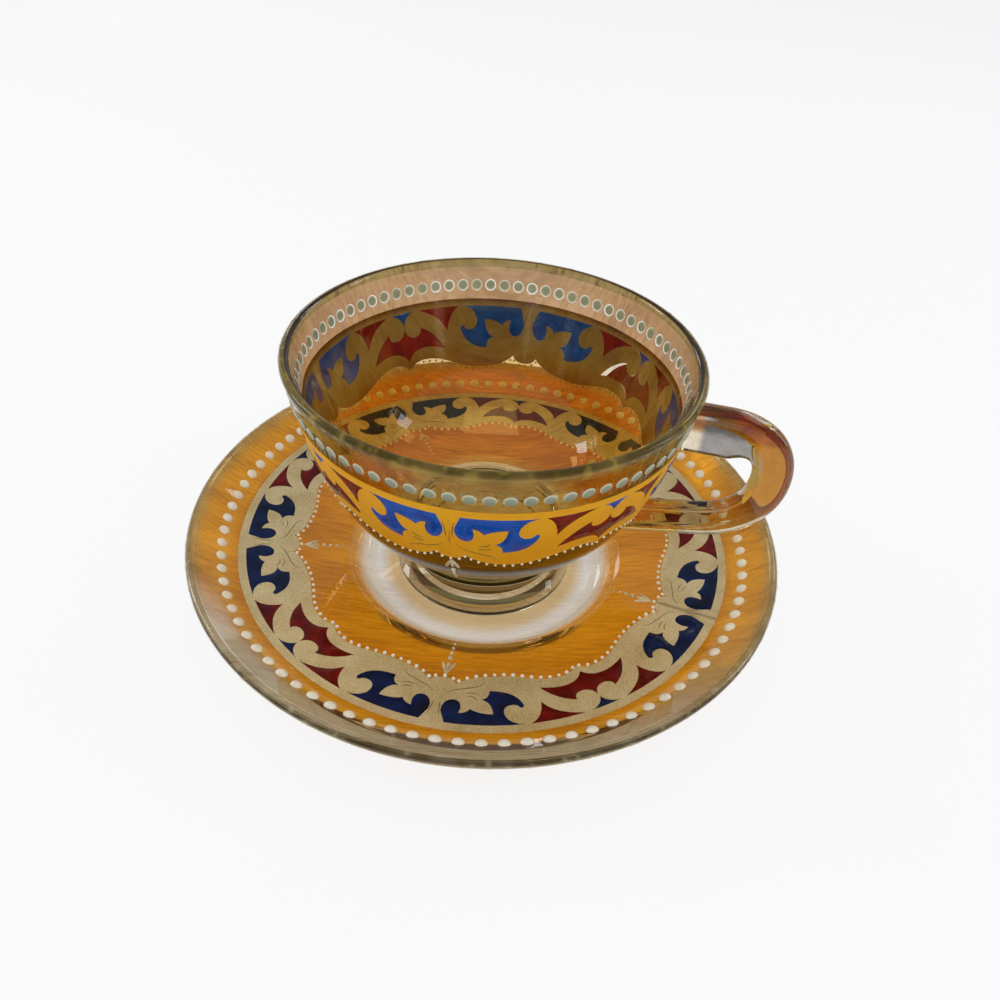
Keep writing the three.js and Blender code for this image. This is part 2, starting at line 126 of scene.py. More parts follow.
# Scroll bands, in millimetres, degrees and shares of a band's depth
SAUCER_LINE = 1.85
SAUCER_BAND = 12.0
SAUCER_REPEATS = 5
SAUCER_TURN = -13.9
CUP_LINE = 1.8
CUP_BAND = 13.8
CUP_PALMETTES = [0, 91, 184, 273]
CUP_HEARTS = [42, 138, 230, 318]
LOBE_DEPTH = 1.11
BAND_REACH = 1.13

# Fired layers, and the looks of gold and enamel. GRAIN_DEPTH and RIPPLE_DEPTH are in metres
LAYER_GAP = 0.05
GILDING = 0.15
LIP_GILDING = 0.14
ENAMEL = 0.32
ENAMEL_SHOULDER = 0.7
LIP_GILDING_DROP = 1.4
GOLD_GRAINS = 3400
GOLD_CLOUDS = 160
GRAIN_DEPTH = 0.00015
SPECK_SHARE = 0.35
ENAMEL_CLOUDS = 260
ENAMEL_RIPPLES = 420
RIPPLE_DEPTH = 0.0004
ENAMEL_IOR = 1.52
WORN_DASHES = 420
WORN_TONES = 210

# Beads, dots and sprigs
SAUCER_DOTS = 90
SAUCER_DOT_RING = 62.75
CUP_DOTS = 75
CUP_DOT_DROP = 6.7
DOT_DIAMETER = 2.6
DOT_THIN_SHARE = 0.55
THIN_BELOW = 0.75
DOT_HEIGHT = 0.75
CUP_DOT_HEIGHT = 0.35
BEAD_DIAMETER = 1.05
BEAD_HEIGHT = 0.6
BEAD_MARGIN = 0.55
SAUCER_BEAD_SIZE = 0.82
CUP_BEAD_SIZE = 0.62
SAUCER_BEAD_PITCH = 1.95
CUP_BEAD_PITCH = 1.75
PETAL_LENGTH = 4.0
PETAL_WIDTH = 0.75
PETAL_HEIGHT = 0.3
PETAL_LEAN = 1.7
PETAL_FULLNESS = 0.75
PETAL_FAN = 21
SPRIG_MARGIN = 1.0
SPRIG_DOTS = 4
SPRIG_DOT_GAP = 0.9
SPRIG_DOT_PITCH = 1.5
VEIN_WIDTH = 0.16
VEIN_END = 0.35
VEIN_SWELL = 2.6
PLANTING_SEED = 7

# Glass, and the gap under it
GLASS_IOR = 1.5
SAUCER_BOUNCES = 1
CUP_BOUNCES = 2
BORDER_FROM = 0.8
BORDER_FULL = 0.83
BORDER_FRONT = (0.2, 0.8)
FLANGE_FRONT_SHEEN = (0.5, 0.85)
FLANGE_RING = (0.9, 0.94)
BRIM_RING = (0.43, 0.5)
WELL_STREAKS = 0.25
BRIM_STREAKS = 0.65
CUP_STREAKS = 0.6
FINE_STREAKS = (150, 1900, 300)
BROAD_STREAKS = (22, 130, 60)
FINE_SHARE = 0.6
CLEAR_PATCH = 0.56
FACE_BLEND = 0.2
FLOOR_DROP = 0.05

# Stage, in metres and degrees
FLOOR_HALF = 4.0
CAMERA_GLOW = 0.84
GLASS_GLOW = 0.8
WINDOWS = [
    ("left_strip", (-0.6, 0.05, 0.3), (0.1, 0.4), 0.8),
    ("right_strip", (0.6, 0.15, 0.3), (0.1, 0.4), 0.5),
    ("back_right_panel", (0.35, 0.65, 0.49), (0.26, 0.14), 0.5),
    ("back_left_panel", (-0.53, 0.65, 0.3), (0.14, 0.24), 0.4),
]
DAYLIGHT = (0.92, 0.96, 1.0)
FILL_PLACE = (0.12, -0.5, 0.75)
FILL_SIZE = (0.6, 0.5)
FILL_POWER = 2.9
CAMERA_LENS = 29.0
CAMERA_DISTANCE = 0.2011
CAMERA_TARGET_HEIGHT = 0.013
CAMERA_ELEVATION = 41.96
CAMERA_TURN = 12.5
CAMERA_YAW, CAMERA_PITCH, CAMERA_ROLL = 0.93, -2.02, -3.37

# Fineness
TURN_STEPS = 192
CURVE_STEPS = 28
BOWL_STEPS = 96
LIP_STEPS = 16
ROUND_STEPS = 8
PROFILE_STEP = 1.6
BEND_STEPS = 10
HOOK_STEPS = 5
FILL_PITCH = 0.9
SURFACE_STEPS = 400
SHARP = 35
WELD = 2e-3

saucer_line_inner = saucer_line_outer - SAUCER_LINE
brim_outer = saucer_rim - SAUCER_FLANGE
brim_inner = saucer_line_inner - BAND_REACH * SAUCER_BAND - BRIM_MARGIN
well_radius = foot_radius + WELL_MARGIN
saucer_base_radius = brim_inner - SAUCER_BASE_INSET
brim_slope = (BRIM_OUTER_HEIGHT - BRIM_INNER_HEIGHT) / (brim_outer - brim_inner)
saucer_lip = np.array([saucer_rim - SAUCER_LIP / 2, saucer_height - SAUCER_LIP / 2])
cup_lip = np.array([cup_rim - BOWL_WALL / 2, cup_height - BOWL_WALL / 2])
cup_line_bottom = cup_line_top - CUP_LINE


# Curves

def cubic(a, b, c, d, steps=CURVE_STEPS):
    a, b, c, d = (np.array(p, float) for p in (a, b, c, d))
    t = np.linspace(0, 1, steps + 1)[:, None]
    return a * (1 - t) ** 3 + 3 * b * t * (1 - t) ** 2 + 3 * c * t * t * (1 - t) + d * t ** 3


def quadratic(a, b, c, steps=CURVE_STEPS):
    a, b, c = (np.array(p, float) for p in (a, b, c))
    t = np.linspace(0, 1, steps + 1)[:, None]
    return a * (1 - t) ** 2 + 2 * b * t * (1 - t) + c * t * t


def arc(centre, radius, start, end, steps=CURVE_STEPS):
    angle = np.radians(np.linspace(start, end, steps + 1))
    return centre + radius * np.stack([np.cos(angle), np.sin(angle)], 1)


def knee(before, corner, after, size=KNEE):
    """A corner rounded off over the same length on both sides."""
    before, corner, after = (np.array(p, float) for p in (before, corner, after))
    start = corner + (before - corner) / np.linalg.norm(before - corner) * size
    end = corner + (after - corner) / np.linalg.norm(after - corner) * size
    return quadratic(start, corner, end, 6)


def path(*stretches):
    """Joins points and curves into one line, without its doubled points."""
    points = np.vstack([np.atleast_2d(np.array(s, float)) for s in stretches])
    steps = np.linalg.norm(np.diff(points, axis=0), axis=1)
    return points[np.concatenate([[True], steps > 1e-6])]


def subdivided(points, step=PROFILE_STEP):
    """The same line with its long stretches cut into short ones."""
    cut = [points[:1]]
    for a, b in zip(points[:-1], points[1:]):
        pieces = max(1, math.ceil(np.linalg.norm(b - a) / step))
        cut.append(a + (b - a) * (np.arange(1, pieces + 1) / pieces)[:, None])
    return np.vstack(cut)


def smoothstep(x):
    x = np.clip(x, 0, 1)
    return x * x * (3 - 2 * x)


# Meshes

def placed(name, data):
    """An object for a mesh, lamp or camera, linked to the scene."""
    piece = bpy.data.objects.new(name, data)
    bpy.context.scene.collection.objects.link(piece)
    return piece


def finished(name, bm, materials, sharp=SHARP):
    """A plain mesh object at the origin, from millimetres, smooth but for its sharp edges."""
    mesh = bpy.data.meshes.new(name)
    bm.to_mesh(mesh)
    bm.free()
    mesh.transform(Matrix.Scale(MM, 4))
    mesh.shade_smooth()
    mesh.set_sharp_from_angle(angle=math.radians(sharp))
    for material in materials:
        mesh.materials.append(material)
    return placed(name, mesh)


def skin(bm, rings):
    """Faces between rings of points, where a ring of one point closes an end."""
    for one, two in zip(rings[:-1], rings[1:]):
        count = max(len(one), len(two))
        for i in range(count):
            j = (i + 1) % count
            corners = [one[i % len(one)], one[j % len(one)], two[j % len(two)], two[i % len(two)]]
            bm.faces.new(list(dict.fromkeys(corners)))


def revolved(profile, steps=TURN_STEPS, closed=False):
    """A profile of (radius, height) turned about Z. Its ends lie on the axis, or it closes on itself."""
    bm = bmesh.new()
    turns = np.linspace(0, 2 * math.pi, steps, endpoint=False)
    rings = []
    for radius, height in profile:
        if radius < 1e-6:
            rings.append([bm.verts.new((0, 0, height))])
        else:
            rings.append([bm.verts.new((radius * math.cos(t), radius * math.sin(t), height)) for t in turns])
    skin(bm, rings + rings[:1] if closed else rings)
    bmesh.ops.recalc_face_normals(bm, faces=bm.faces)
    return bm


def carved(piece, cutter, operation):
    """The piece after an exact boolean with another object, which is then removed."""
    modifier = piece.modifiers.new("carve", "BOOLEAN")
    modifier.operation = operation
    modifier.solver = "EXACT"
    modifier.object = cutter
    bake(piece)
    bpy.data.objects.remove(cutter)
    return piece


def bake(piece):
    """Turns the evaluated piece into its own plain mesh and takes its modifiers off."""
    bpy.context.view_layer.update()
    evaluated = piece.evaluated_get(bpy.context.evaluated_depsgraph_get())
    mesh = bpy.data.meshes.new_from_object(evaluated)
    piece.modifiers.clear()
    piece.data = mesh
    mesh.name = piece.name


# Glass

def saucer_top():
    """The saucer's upper face from the lip's inside to its centre."""
    flange = saucer_lip - np.array([SAUCER_LIP / 2, 0])
    corner = (brim_outer, BRIM_OUTER_HEIGHT)
    inner = (brim_inner, BRIM_INNER_HEIGHT)
    run = (brim_inner - well_radius) / 2
    well = cubic(
        inner,
        (brim_inner - run, BRIM_INNER_HEIGHT - brim_slope * run),
        (well_radius + run, SAUCER_FLOOR),
        (well_radius, SAUCER_FLOOR),
    )
    return path(flange, knee(flange, corner, inner), well, (0, SAUCER_FLOOR))


def saucer_underside():
    """From the centre of the ground base to the lip's outside."""
    rise = np.array([brim_inner + SAUCER_WALL / 2, BRIM_INNER_HEIGHT - SAUCER_WALL])
    run = (rise[0] - saucer_base_radius) / 2
    foot = cubic(
        (saucer_base_radius, 0),
        (saucer_base_radius + run, 0),
        (rise[0] - run, rise[1] - brim_slope * run),
        rise,
    )
    corner = (brim_outer + SAUCER_WALL / 2, BRIM_OUTER_HEIGHT - SAUCER_WALL)
    lip = saucer_lip + np.array([SAUCER_LIP / 2, 0])
    return path((0, 0), foot, knee(rise, corner, lip))


def saucer_glass(material):
    lip = arc(saucer_lip, SAUCER_LIP / 2, 0, 180, LIP_STEPS)
    profile = subdivided(path(saucer_underside(), lip, saucer_top()))
    return finished("saucer_glass", revolved(profile), [material])


bowl_outside = cubic(
    (0, BOWL_BOTTOM),
    (BOWL_BELLY_REACH, BOWL_BOTTOM),
    (BOWL_FLARE_REACH, BOWL_FLARE_HEIGHT),
    (cup_rim, cup_lip[1]),
    BOWL_STEPS,
)
bowl_inside = cubic(
    (cup_rim - BOWL_WALL, cup_lip[1]),
    (BOWL_FLARE_REACH - BOWL_WALL, BOWL_FLARE_HEIGHT + BOWL_WALL),
    (BOWL_BELLY_REACH - BOWL_WALL, BOWL_BOTTOM + BOWL_FLOOR),
    (0, BOWL_BOTTOM + BOWL_FLOOR),
    BOWL_STEPS,
)


def bowl_height(radius):
    return float(np.interp(radius, bowl_outside[:, 0], bowl_outside[:, 1]))


def bowl_radius(height):
    return np.interp(height, bowl_outside[:, 1], bowl_outside[:, 0])


def foot_profile():
    """The recessed base, the ground ring, the waist and the fillet up to the bowl."""
    neck = np.array([FOOT_NECK_RADIUS, bowl_height(FOOT_NECK_RADIUS)])
    edge = (foot_radius, FOOT_EDGE)
    ring = (foot_radius, 0)
    recess = (FOOT_RECESS_RADIUS + FOOT_RECESS, 0)
    waist = quadratic(edge, (FOOT_WAIST_RADIUS, FOOT_WAIST_HEIGHT), neck)
    below = waist[waist[:, 1] < neck[1] - NECK_FILLET]
    after = neck[0] + NECK_FILLET
    fillet = quadratic(below[-1], neck, (after, bowl_height(after)), ROUND_STEPS)
    return path(
        (0, FOOT_RECESS),
        (FOOT_RECESS_RADIUS, FOOT_RECESS),
        recess,
        knee(recess, ring, edge, FOOT_CHAMFER),
        below,
        fillet,
    )


def cup_body(material):
    """Foot and bowl as one turned body."""
    foot = foot_profile()
    bowl = bowl_outside[bowl_outside[:, 0] > foot[-1][0]]
    lip = arc(cup_lip, BOWL_WALL / 2, 0, 180, LIP_STEPS)
    profile = subdivided(path(foot, bowl, lip, bowl_inside)) + (0, cup_base)
    return finished("cup_glass", revolved(profile), [material])


def handle_outline():
    """The ring's outer edge, from inside the bowl's wall at the top to inside it at the heel."""
    leg_height = BOWL_BOTTOM + HANDLE_LEG_RISE
    heel_radius = FOOT_NECK_RADIUS + HANDLE_HEEL_REACH
    root = np.array([cup_rim - HANDLE_BAND, handle_top])
    top = np.array([cup_rim + HANDLE_LEG_REACH, handle_top])
    end = np.array([handle_end, leg_height + HANDLE_END_SHARE * (handle_top - leg_height)])
    leg = np.array([top[0], leg_height])
    heel = np.array([heel_radius, bowl_height(heel_radius) + HANDLE_HEEL_SINK])
    shoulder = (end[0] - top[0]) * HANDLE_SHOULDER
    drop = (top[1] - end[1]) * HANDLE_SHOULDER
    rise = (end[1] - leg[1]) * HANDLE_SAG
    leg_run = np.array([shoulder, shoulder * (leg[1] - heel[1]) / (leg[0] - heel[0])])
    outer = cubic(top, top + (shoulder, 0), end + (0, drop), end)
    under = cubic(end, end - (0, rise), leg + leg_run, leg)
    return subdivided(path(root, outer, under, heel))


def handle_section(root_share):
    """The ring's section as depth from its outer edge and distance from its middle plane: a round outer
    edge, flat sides, then the pinch that thins it towards the hole."""
    half, thin = handle_half_thickness, HANDLE_PINCH / 2
    band = HANDLE_BAND + (HANDLE_ROOT_BAND - HANDLE_BAND) * root_share
    end_face = HANDLE_BAND - HANDLE_BEVEL
    face = end_face + (HANDLE_ROOT_FACE - end_face) * root_share
    shoulder = band - thin / 2
    edge = arc(np.array([half, 0.0]), half, 180, 90, ROUND_STEPS)
    hollow = quadratic((face, half), ((face + shoulder) / 2, thin), (shoulder, thin), ROUND_STEPS)
    turn = np.radians(np.linspace(90, 0, 6))[1:]
    inner = np.stack([shoulder + thin / 2 * np.cos(turn), thin * np.sin(turn)], 1)
    side = np.vstack([edge, hollow, inner])
    return np.vstack([side, side[-2:0:-1] * (1, -1)])


def handle_bar(material):
    """The flat ring swept along its outline, deepest at its upper root."""
    outer = handle_outline()
    run = np.gradient(outer, axis=0)
    run /= np.linalg.norm(run, axis=1)[:, None]
    inward = np.stack([run[:, 1], -run[:, 0]], 1)
    root_end = cup_rim + HANDLE_ROOT_REACH
    upper = np.arange(len(outer)) <= outer[:, 0].argmax()
    root_share = np.where(upper, 1 - smoothstep((outer[:, 0] - root_end) / (handle_end - root_end)), 0)
    bm = bmesh.new()
    rings = []
    for edge, into, share in zip(outer, inward, root_share):
        section = handle_section(share)
        spots = edge + section[:, :1] * into
        rings.append([bm.verts.new((x, y, z + cup_base)) for (x, z), y in zip(spots, section[:, 1])])
    skin(bm, rings)
    bm.faces.new(rings[0])
    bm.faces.new(rings[-1])
    bmesh.ops.recalc_face_normals(bm, faces=bm.faces)
    return finished("handle_bar", bm, [material])


def cup_glass(material):
    """Bowl, foot and handle melted into one body of glass."""
    middle = (bowl_outside + bowl_inside[::-1]) / 2
    above = cup_height + BOWL_WALL
    core = path(middle, (middle[-1, 0], above), (0, above)) + (0, cup_base)
    hollow = finished("bowl_core", revolved(core), [material])
    handle = carved(handle_bar(material), hollow, "DIFFERENCE")
    cup = carved(cup_body(material), handle, "UNION")
    cup.data.shade_smooth()
    cup.data.set_sharp_from_angle(angle=math.radians(SHARP))
    return cup


def lip_gilding(name, centre, radius, drop, material):
    """A thin ring over the outer half of a lip, run a little way down the outside."""
    inner = path(drop, arc(centre, radius, 0, 100, 10))
    outward = np.gradient(inner, axis=0)
    outward = np.stack([outward[:, 1], -outward[:, 0]], 1)
    outward /= np.linalg.norm(outward, axis=1)[:, None]
    low = inner + outward * LAYER_GAP
    high = inner + outward * (LAYER_GAP + LIP_GILDING)
    return finished(name, revolved(np.vstack([low, high[::-1]]), closed=True), [material])


# Ornament surfaces: a run in millimetres from the gold line, inwards on the saucer and down on the cup

class Surface:
    def __init__(self, runs, radii, heights, outward):
        self.runs, self.radii, self.heights = runs, radii, heights
        slope = np.stack([np.gradient(radii, runs), np.gradient(heights, runs)], 1)
        slope /= np.linalg.norm(slope, axis=1)[:, None]
        self.normals = np.stack([slope[:, 1], -slope[:, 0]], 1) * outward

    def at(self, angle, run):
        """Points on the glass and its outward normals."""
        radius, height = np.interp(run, self.runs, self.radii), np.interp(run, self.runs, self.heights)
        out, up = [np.interp(run, self.runs, self.normals[:, i]) for i in (0, 1)]
        cos, sin = np.cos(angle), np.sin(angle)
        return (np.stack([radius * cos, radius * sin, height], -1),
                np.stack([out * cos, out * sin, up], -1))

    def lifted(self, angle, run, lift):
        point, normal = self.at(angle, run)
        return point + normal * np.asarray(lift)[..., None]


def saucer_surface():
    top = saucer_top()[::-1]
    radii = np.linspace(saucer_lip[0] - SAUCER_LIP / 2, 1, SURFACE_STEPS)
    heights = np.interp(radii, top[:, 0], top[:, 1])
    return Surface(saucer_line_inner - radii, radii, heights, 1)


def cup_surface():
    heights = np.linspace(cup_lip[1], bowl_height(FOOT_NECK_RADIUS), SURFACE_STEPS)
    return Surface(cup_line_bottom - heights, bowl_radius(heights), heights + cup_base, -1)


class Band:
    """Half repeats run from a palmette's axis (0) to a heart's (1), and depth from the gold line (0) to the
    mean of the scalloped edge (1). An even half runs on from its palmette and an odd one runs back."""

    def __init__(self, surface, palmettes, hearts, depth, line):
        self.surface = surface
        self.palmettes, self.hearts = palmettes, hearts
        self.depth, self.line = depth, line
        self.halves = range(2 * len(palmettes))
        middle = np.interp(depth / 2, surface.runs, surface.radii)
        self.width = middle * math.pi / len(palmettes)

    def angle(self, half, across):
        palmette = self.palmettes[math.ceil(half / 2) % len(self.palmettes)]
        run = (self.hearts[half // 2] - palmette + 180) % 360 - 180
        return np.radians(palmette + run * np.asarray(across))

    def spot(self, half, outline, lift):
        return self.surface.lifted(self.angle(half, outline[:, 0]), outline[:, 1] * self.depth, lift)


# Outlines, as (across, depth)

def bent(start, *bends):
    """Curves drawn on from a start. Each has its count of steps, its control points and its end."""
    stretches = []
    for steps, *points in bends:
        curve = cubic if len(points) == 3 else quadratic
        stretches.append(curve(start, *points, steps))
        start = points[-1]
    return path(*stretches)


def scalloped_edge():
    return bent(
        (0, 1),
        (BEND_STEPS, (0.075, 1), (0.095, 0.88)),
        (BEND_STEPS, (0.15, 1.02), (0.25, LOBE_DEPTH), (0.4, LOBE_DEPTH)),
        (BEND_STEPS, (0.58, LOBE_DEPTH), (0.68, 0.89), (0.85, 0.89)),
        (BEND_STEPS, (0.94, 0.89), (1, 1.015)),
    )


def blue_panel():
    """Along the gold line, round the scroll's end, back under it, then the leaves and the hook."""
    return bent(
        (0.07, 0),
        (BEND_STEPS, (0.3, 0), (0.51, 0)),
        (BEND_STEPS, (0.385, 0.05), (0.375, 0.45), (0.47, 0.435)),
        (HOOK_STEPS, (0.5, 0.42), (0.507, 0.372)),
        (HOOK_STEPS, (0.522, 0.33), (0.537, 0.4)),
        (BEND_STEPS, (0.505, 0.76), (0.327, 0.765)),
        (BEND_STEPS, (0.325, 0.59), (0.27, 0.565)),
        (BEND_STEPS, (0.34, 0.52), (0.343, 0.24)),
        (BEND_STEPS, (0.25, 0.25), (0.205, 0.345)),
        (HOOK_STEPS, (0.185, 0.24), (0.14, 0.235)),
        (BEND_STEPS, (0.19, 0.62), (0.02, 0.62), (0.035, 0.25)),
    )


def ruby_heart_side():
    """From the heart's tip round one side to the notch between its scrolls."""
    return bent(
        (1, 0.875),
        (BEND_STEPS, (0.92, 0.55), (0.672, 0.75)),
        (BEND_STEPS, (0.75, 0.42), (0.865, 0.31)),
        (BEND_STEPS, (0.85, 0.5), (0.99, 0.53), (1, 0.27)),
    )


def ruby_corner():
    return bent(
        (0.548, 0),
        (BEND_STEPS, (0.7, 0), (0.87, 0)),
        (BEND_STEPS, (0.7, 0.13), (0.645, 0.44)),
        (BEND_STEPS, (0.625, 0.1), (0.548, 0)),
    )[:-1]


def blue_corner_side():
    """Half of the small blue corner on a heart's axis."""
    return quadratic((0.9, 0), (0.975, 0.03), (1, 0.217), BEND_STEPS)


def mirrored(side):
    """A closed outline from the half of it that ends on a heart's axis."""
    other = side[::-1] * (-1, 1) + (2, 0)
    return path(side, other[1:])


def inside(points, outline):
    """Which points lie in a closed outline."""
    x, y = points[:, 0][:, None], points[:, 1][:, None]
    a, b = outline, np.roll(outline, -1, axis=0)
    crosses = (a[:, 1] > y) != (b[:, 1] > y)
    rise = np.where(b[:, 1] == a[:, 1], 1, b[:, 1] - a[:, 1])
    return ((crosses & (x < a[:, 0] + (y - a[:, 1]) * (b[:, 0] - a[:, 0]) / rise)).sum(1) % 2) == 1


def margin(points, outlines):
    """Distance from each point to the nearest edge of some closed outlines."""
    nearest = np.full(len(points), np.inf)
    for a in outlines:
        b = np.roll(a, -1, axis=0)
        along = b - a
        length = np.maximum((along ** 2).sum(1), 1e-12)
        share = np.clip(((points[:, None] - a) * along).sum(2) / length, 0, 1)
        gaps = np.linalg.norm(points[:, None] - (a + share[..., None] * along), axis=2)
        nearest = np.minimum(nearest, gaps.min(1))
    return nearest


def filled(outer, holes=()):
    """Triangles over a flat outline in millimetres, with points inside so that it can bend and swell."""
    low, high = outer.min(0), outer.max(0)
    grid = np.stack(np.meshgrid(
        np.arange(low[0], high[0], FILL_PITCH),
        np.arange(low[1], high[1], FILL_PITCH),
    ), -1).reshape(-1, 2)
    loops = [outer, *holes]
    keep = inside(grid, outer) & (margin(grid, loops) > FILL_PITCH * 0.45)
    for hole in holes:
        keep &= ~inside(grid, hole)
    edges, count = [], 0
    for loop in loops:
        edges += [(count + i, count + (i + 1) % len(loop)) for i in range(len(loop))]
        count += len(loop)
    points = np.vstack([*loops, grid[keep]])
    cut = delaunay_2d_cdt([Vector(p) for p in points], edges, [], 0, 1e-5)
    flat = np.array([tuple(v) for v in cut[0]])
    triangles = np.array([f for f in cut[2]])
    middles = flat[triangles].mean(1)
    good = inside(middles, outer)
    for hole in holes:
        good &= ~inside(middles, hole)
    return flat, triangles[good]


def fired_layer(name, patches, materials):
    """Closed thin shells from patches of (lower points, upper points, triangles), joined where they meet.
    The faces that look at the glass take the second material."""
    bm = bmesh.new()
    for lower, upper, triangles in patches:
        under = [bm.verts.new(p) for p in lower]
        over = [bm.verts.new(p) for p in upper]
        sides = {}
        for a, b, c in triangles:
            if len({a, b, c}) < 3:
                continue
            bm.faces.new((over[a], over[b], over[c]))
            bm.faces.new((under[c], under[b], under[a])).material_index = 1
            for edge in ((a, b), (b, c), (c, a)):
                sides[edge] = True
        for a, b in sides:
            if (b, a) not in sides:
                bm.faces.new((over[b], over[a], under[a], under[b]))
    bmesh.ops.remove_doubles(bm, verts=bm.verts, dist=WELD)
    bm.verts.index_update()
    doubled = {}
    for face in bm.faces:
        doubled.setdefault(frozenset(v.index for v in face.verts), []).append(face)
    inner_walls = [f for faces in doubled.values() if len(faces) > 1 for f in faces]
    bmesh.ops.delete(bm, geom=inner_walls, context="FACES_ONLY")
    loose = [v for v in bm.verts if not v.link_faces]
    bmesh.ops.delete(bm, geom=loose, context="VERTS")
    bmesh.ops.recalc_face_normals(bm, faces=bm.faces)
    return finished(name, bm, materials, 50)


def patch(band, half, outer, holes, swell):
    """A filled outline of one half laid on the glass, as fired_layer takes it."""
    scale = np.array([band.width, band.depth])
    loops = [loop * scale for loop in (outer, *holes)]
    flat, triangles = filled(loops[0], loops[1:])
    lift = LAYER_GAP + swell(margin(flat, loops))
    spread = flat / scale
    lower = band.spot(half, spread, np.full(len(flat), LAYER_GAP))
    upper = band.spot(half, spread, lift)
    return lower, upper, triangles


def even(distance):
    return np.full(len(distance), GILDING)


def pillowed(distance):
    return GILDING + (ENAMEL - GILDING) * smoothstep(distance / ENAMEL_SHOULDER)


def gold_half(line_depth):
    """The gold of one half repeat: its outline, notched by the heart and the small corner, and its holes."""
    edge = scalloped_edge()
    heart = ruby_heart_side()
    corner = blue_corner_side()
    outer = path(edge, heart, corner[::-1], (1, 0), (1, -line_depth), along_line(-line_depth)[::-1])
    return outer, [blue_panel(), ruby_corner()]


def along_line(depth):
    across = np.linspace(0, 1, 4 * BEND_STEPS + 1)
    return np.stack([across, np.full(len(across), depth)], 1)


def gold_band(name, band, materials):
    outer, holes = gold_half(band.line / band.depth)
    patches = [patch(band, half, outer, holes, even) for half in band.halves]
    return fired_layer(name, patches, materials)


def enamel_panels(name, band, outlines, materials):
    """Panels of one colour: outlines for every half, and outlines across a heart's axis for even halves."""
    patches = []
    for half in band.halves:
        for outline, whole in outlines:
            if not whole or half % 2 == 0:
                patches.append(patch(band, half, outline, [], pillowed))
    return fired_layer(name, patches, materials)


# Node trees

class Socket:
    """An output in a node tree. Sums on it add Math nodes."""

    def __init__(self, board, socket):
        self.board, self.socket = board, socket

    def out(self, name):
        return Socket(self.board, pick(self.socket.node.outputs, name))

    def math(self, operation, *others):
        values = dict(enumerate([self, *others]))
        return self.board.add("ShaderNodeMath", values, operation=operation)

    def __add__(self, other):
        return self.math("ADD", other)

    def __sub__(self, other):
        return self.math("SUBTRACT", other)

    def __rsub__(self, other):
        return self.board.add("ShaderNodeMath", {0: other, 1: self}, operation="SUBTRACT")

    def __mul__(self, other):
        return self.math("MULTIPLY", other)

    def __truediv__(self, other):
        return self.math("DIVIDE", other)

    def __pow__(self, other):
        return self.math("POWER", other)

    __radd__ = __add__
    __rmul__ = __mul__


def pick(sockets, key):
    """A socket by its number, or the first one in use with that name."""
    if isinstance(key, int):
        return sockets[key]
    return next(s for s in sockets if s.enabled and s.name == key)


class Board:
    """A node tree that nodes are added to."""

    def __init__(self, tree):
        self.tree = tree
        tree.nodes.clear()

    def add(self, kind, sockets=None, **settings):
        """A node of a type, with its settings set first and then its sockets' values or links."""
        node = self.tree.nodes.new(kind)
        for name, value in settings.items():
            if name == "stops":
                set_stops(node.color_ramp, value)
            else:
                setattr(node, name, value)
        for key, value in (sockets or {}).items():
            socket = pick(node.inputs, key)
            if isinstance(value, Socket):
                self.tree.links.new(value.socket, socket)
            else:
                socket.default_value = colour(value)
        return Socket(self, next((s for s in node.outputs if s.enabled), None)) if node.outputs else node

    def mix(self, factor, a, b, blend="MIX"):
        sockets = {"Factor": factor, "A": a, "B": b}
        return self.add("ShaderNodeMix", sockets, data_type="RGBA", blend_type=blend).out("Result")

    def ramp(self, factor, *stops):
        return self.add("ShaderNodeValToRGB", {"Fac": factor}, stops=stops)

    def noise(self, vector, scale, detail=2.0, roughness=0.5):
        return self.add("ShaderNodeTexNoise", {
            "Vector": vector, "Scale": scale, "Detail": detail, "Roughness": roughness})

    def place(self):
        """Object coordinates in metres."""
        return self.add("ShaderNodeTexCoord").out("Object")

    def axes(self, vector):
        split = self.add("ShaderNodeSeparateXYZ", {"Vector": vector})
        return split.out("X"), split.out("Y"), split.out("Z")

    def scaled(self, vector, factors):
        return self.add("ShaderNodeVectorMath", {0: vector, 1: factors}, operation="MULTIPLY")


def set_stops(ramp, stops):
    while len(ramp.elements) > 1:
        ramp.elements.remove(ramp.elements[-1])
    for i, (position, tone) in enumerate(stops):
        element = ramp.elements[0] if i == 0 else ramp.elements.new(position)
        element.position = position
        element.color = colour(tone)


def colour(value):
    """A colour written as on screen as linear RGBA, and any other value as it is."""
    if not (isinstance(value, str) and value.startswith("#")):
        return value
    parts = [int(value[i:i + 2], 16) / 255 for i in (1, 3, 5)]
    return (*[v / 12.92 if v <= 0.04045 else ((v + 0.055) / 1.055) ** 2.4 for v in parts], 1.0)


# Materials

def material(name):
    made = bpy.data.materials.new(name)
    made.use_nodes = True
    return made, Board(made.node_tree)


def surfaced(board, shader):
    board.add("ShaderNodeOutputMaterial", {"Surface": shader})


def principled(board, sockets):
    return board.add("ShaderNodeBsdfPrincipled", sockets)


def glass(board, tone, roughness, shade, edge, bounces):
    """Clear glass that lets part of the light on to what lies behind it. A ray caught inside gets out
    after a few bounces, darkened by the edge colour, which is painted shade for the glass's dark rims and
    edges."""
    clear = principled(board, {
        "Base Color": tone, "Roughness": roughness, "IOR": GLASS_IOR, "Transmission Weight": 1.0})
    passed = board.add("ShaderNodeBsdfTransparent", {"Color": shade})
    painted_edge_shade = board.add("ShaderNodeBsdfTransparent", {"Color": edge})
    light = board.add("ShaderNodeLightPath")
    caught = light.out("Glossy Depth").math("GREATER_THAN", bounces + 0.5)
    seen = board.add("ShaderNodeMixShader", {0: caught, 1: clear, 2: painted_edge_shade})
    shadow = light.out("Is Shadow Ray")
    surfaced(board, board.add("ShaderNodeMixShader", {0: shadow, 1: seen, 2: passed}))


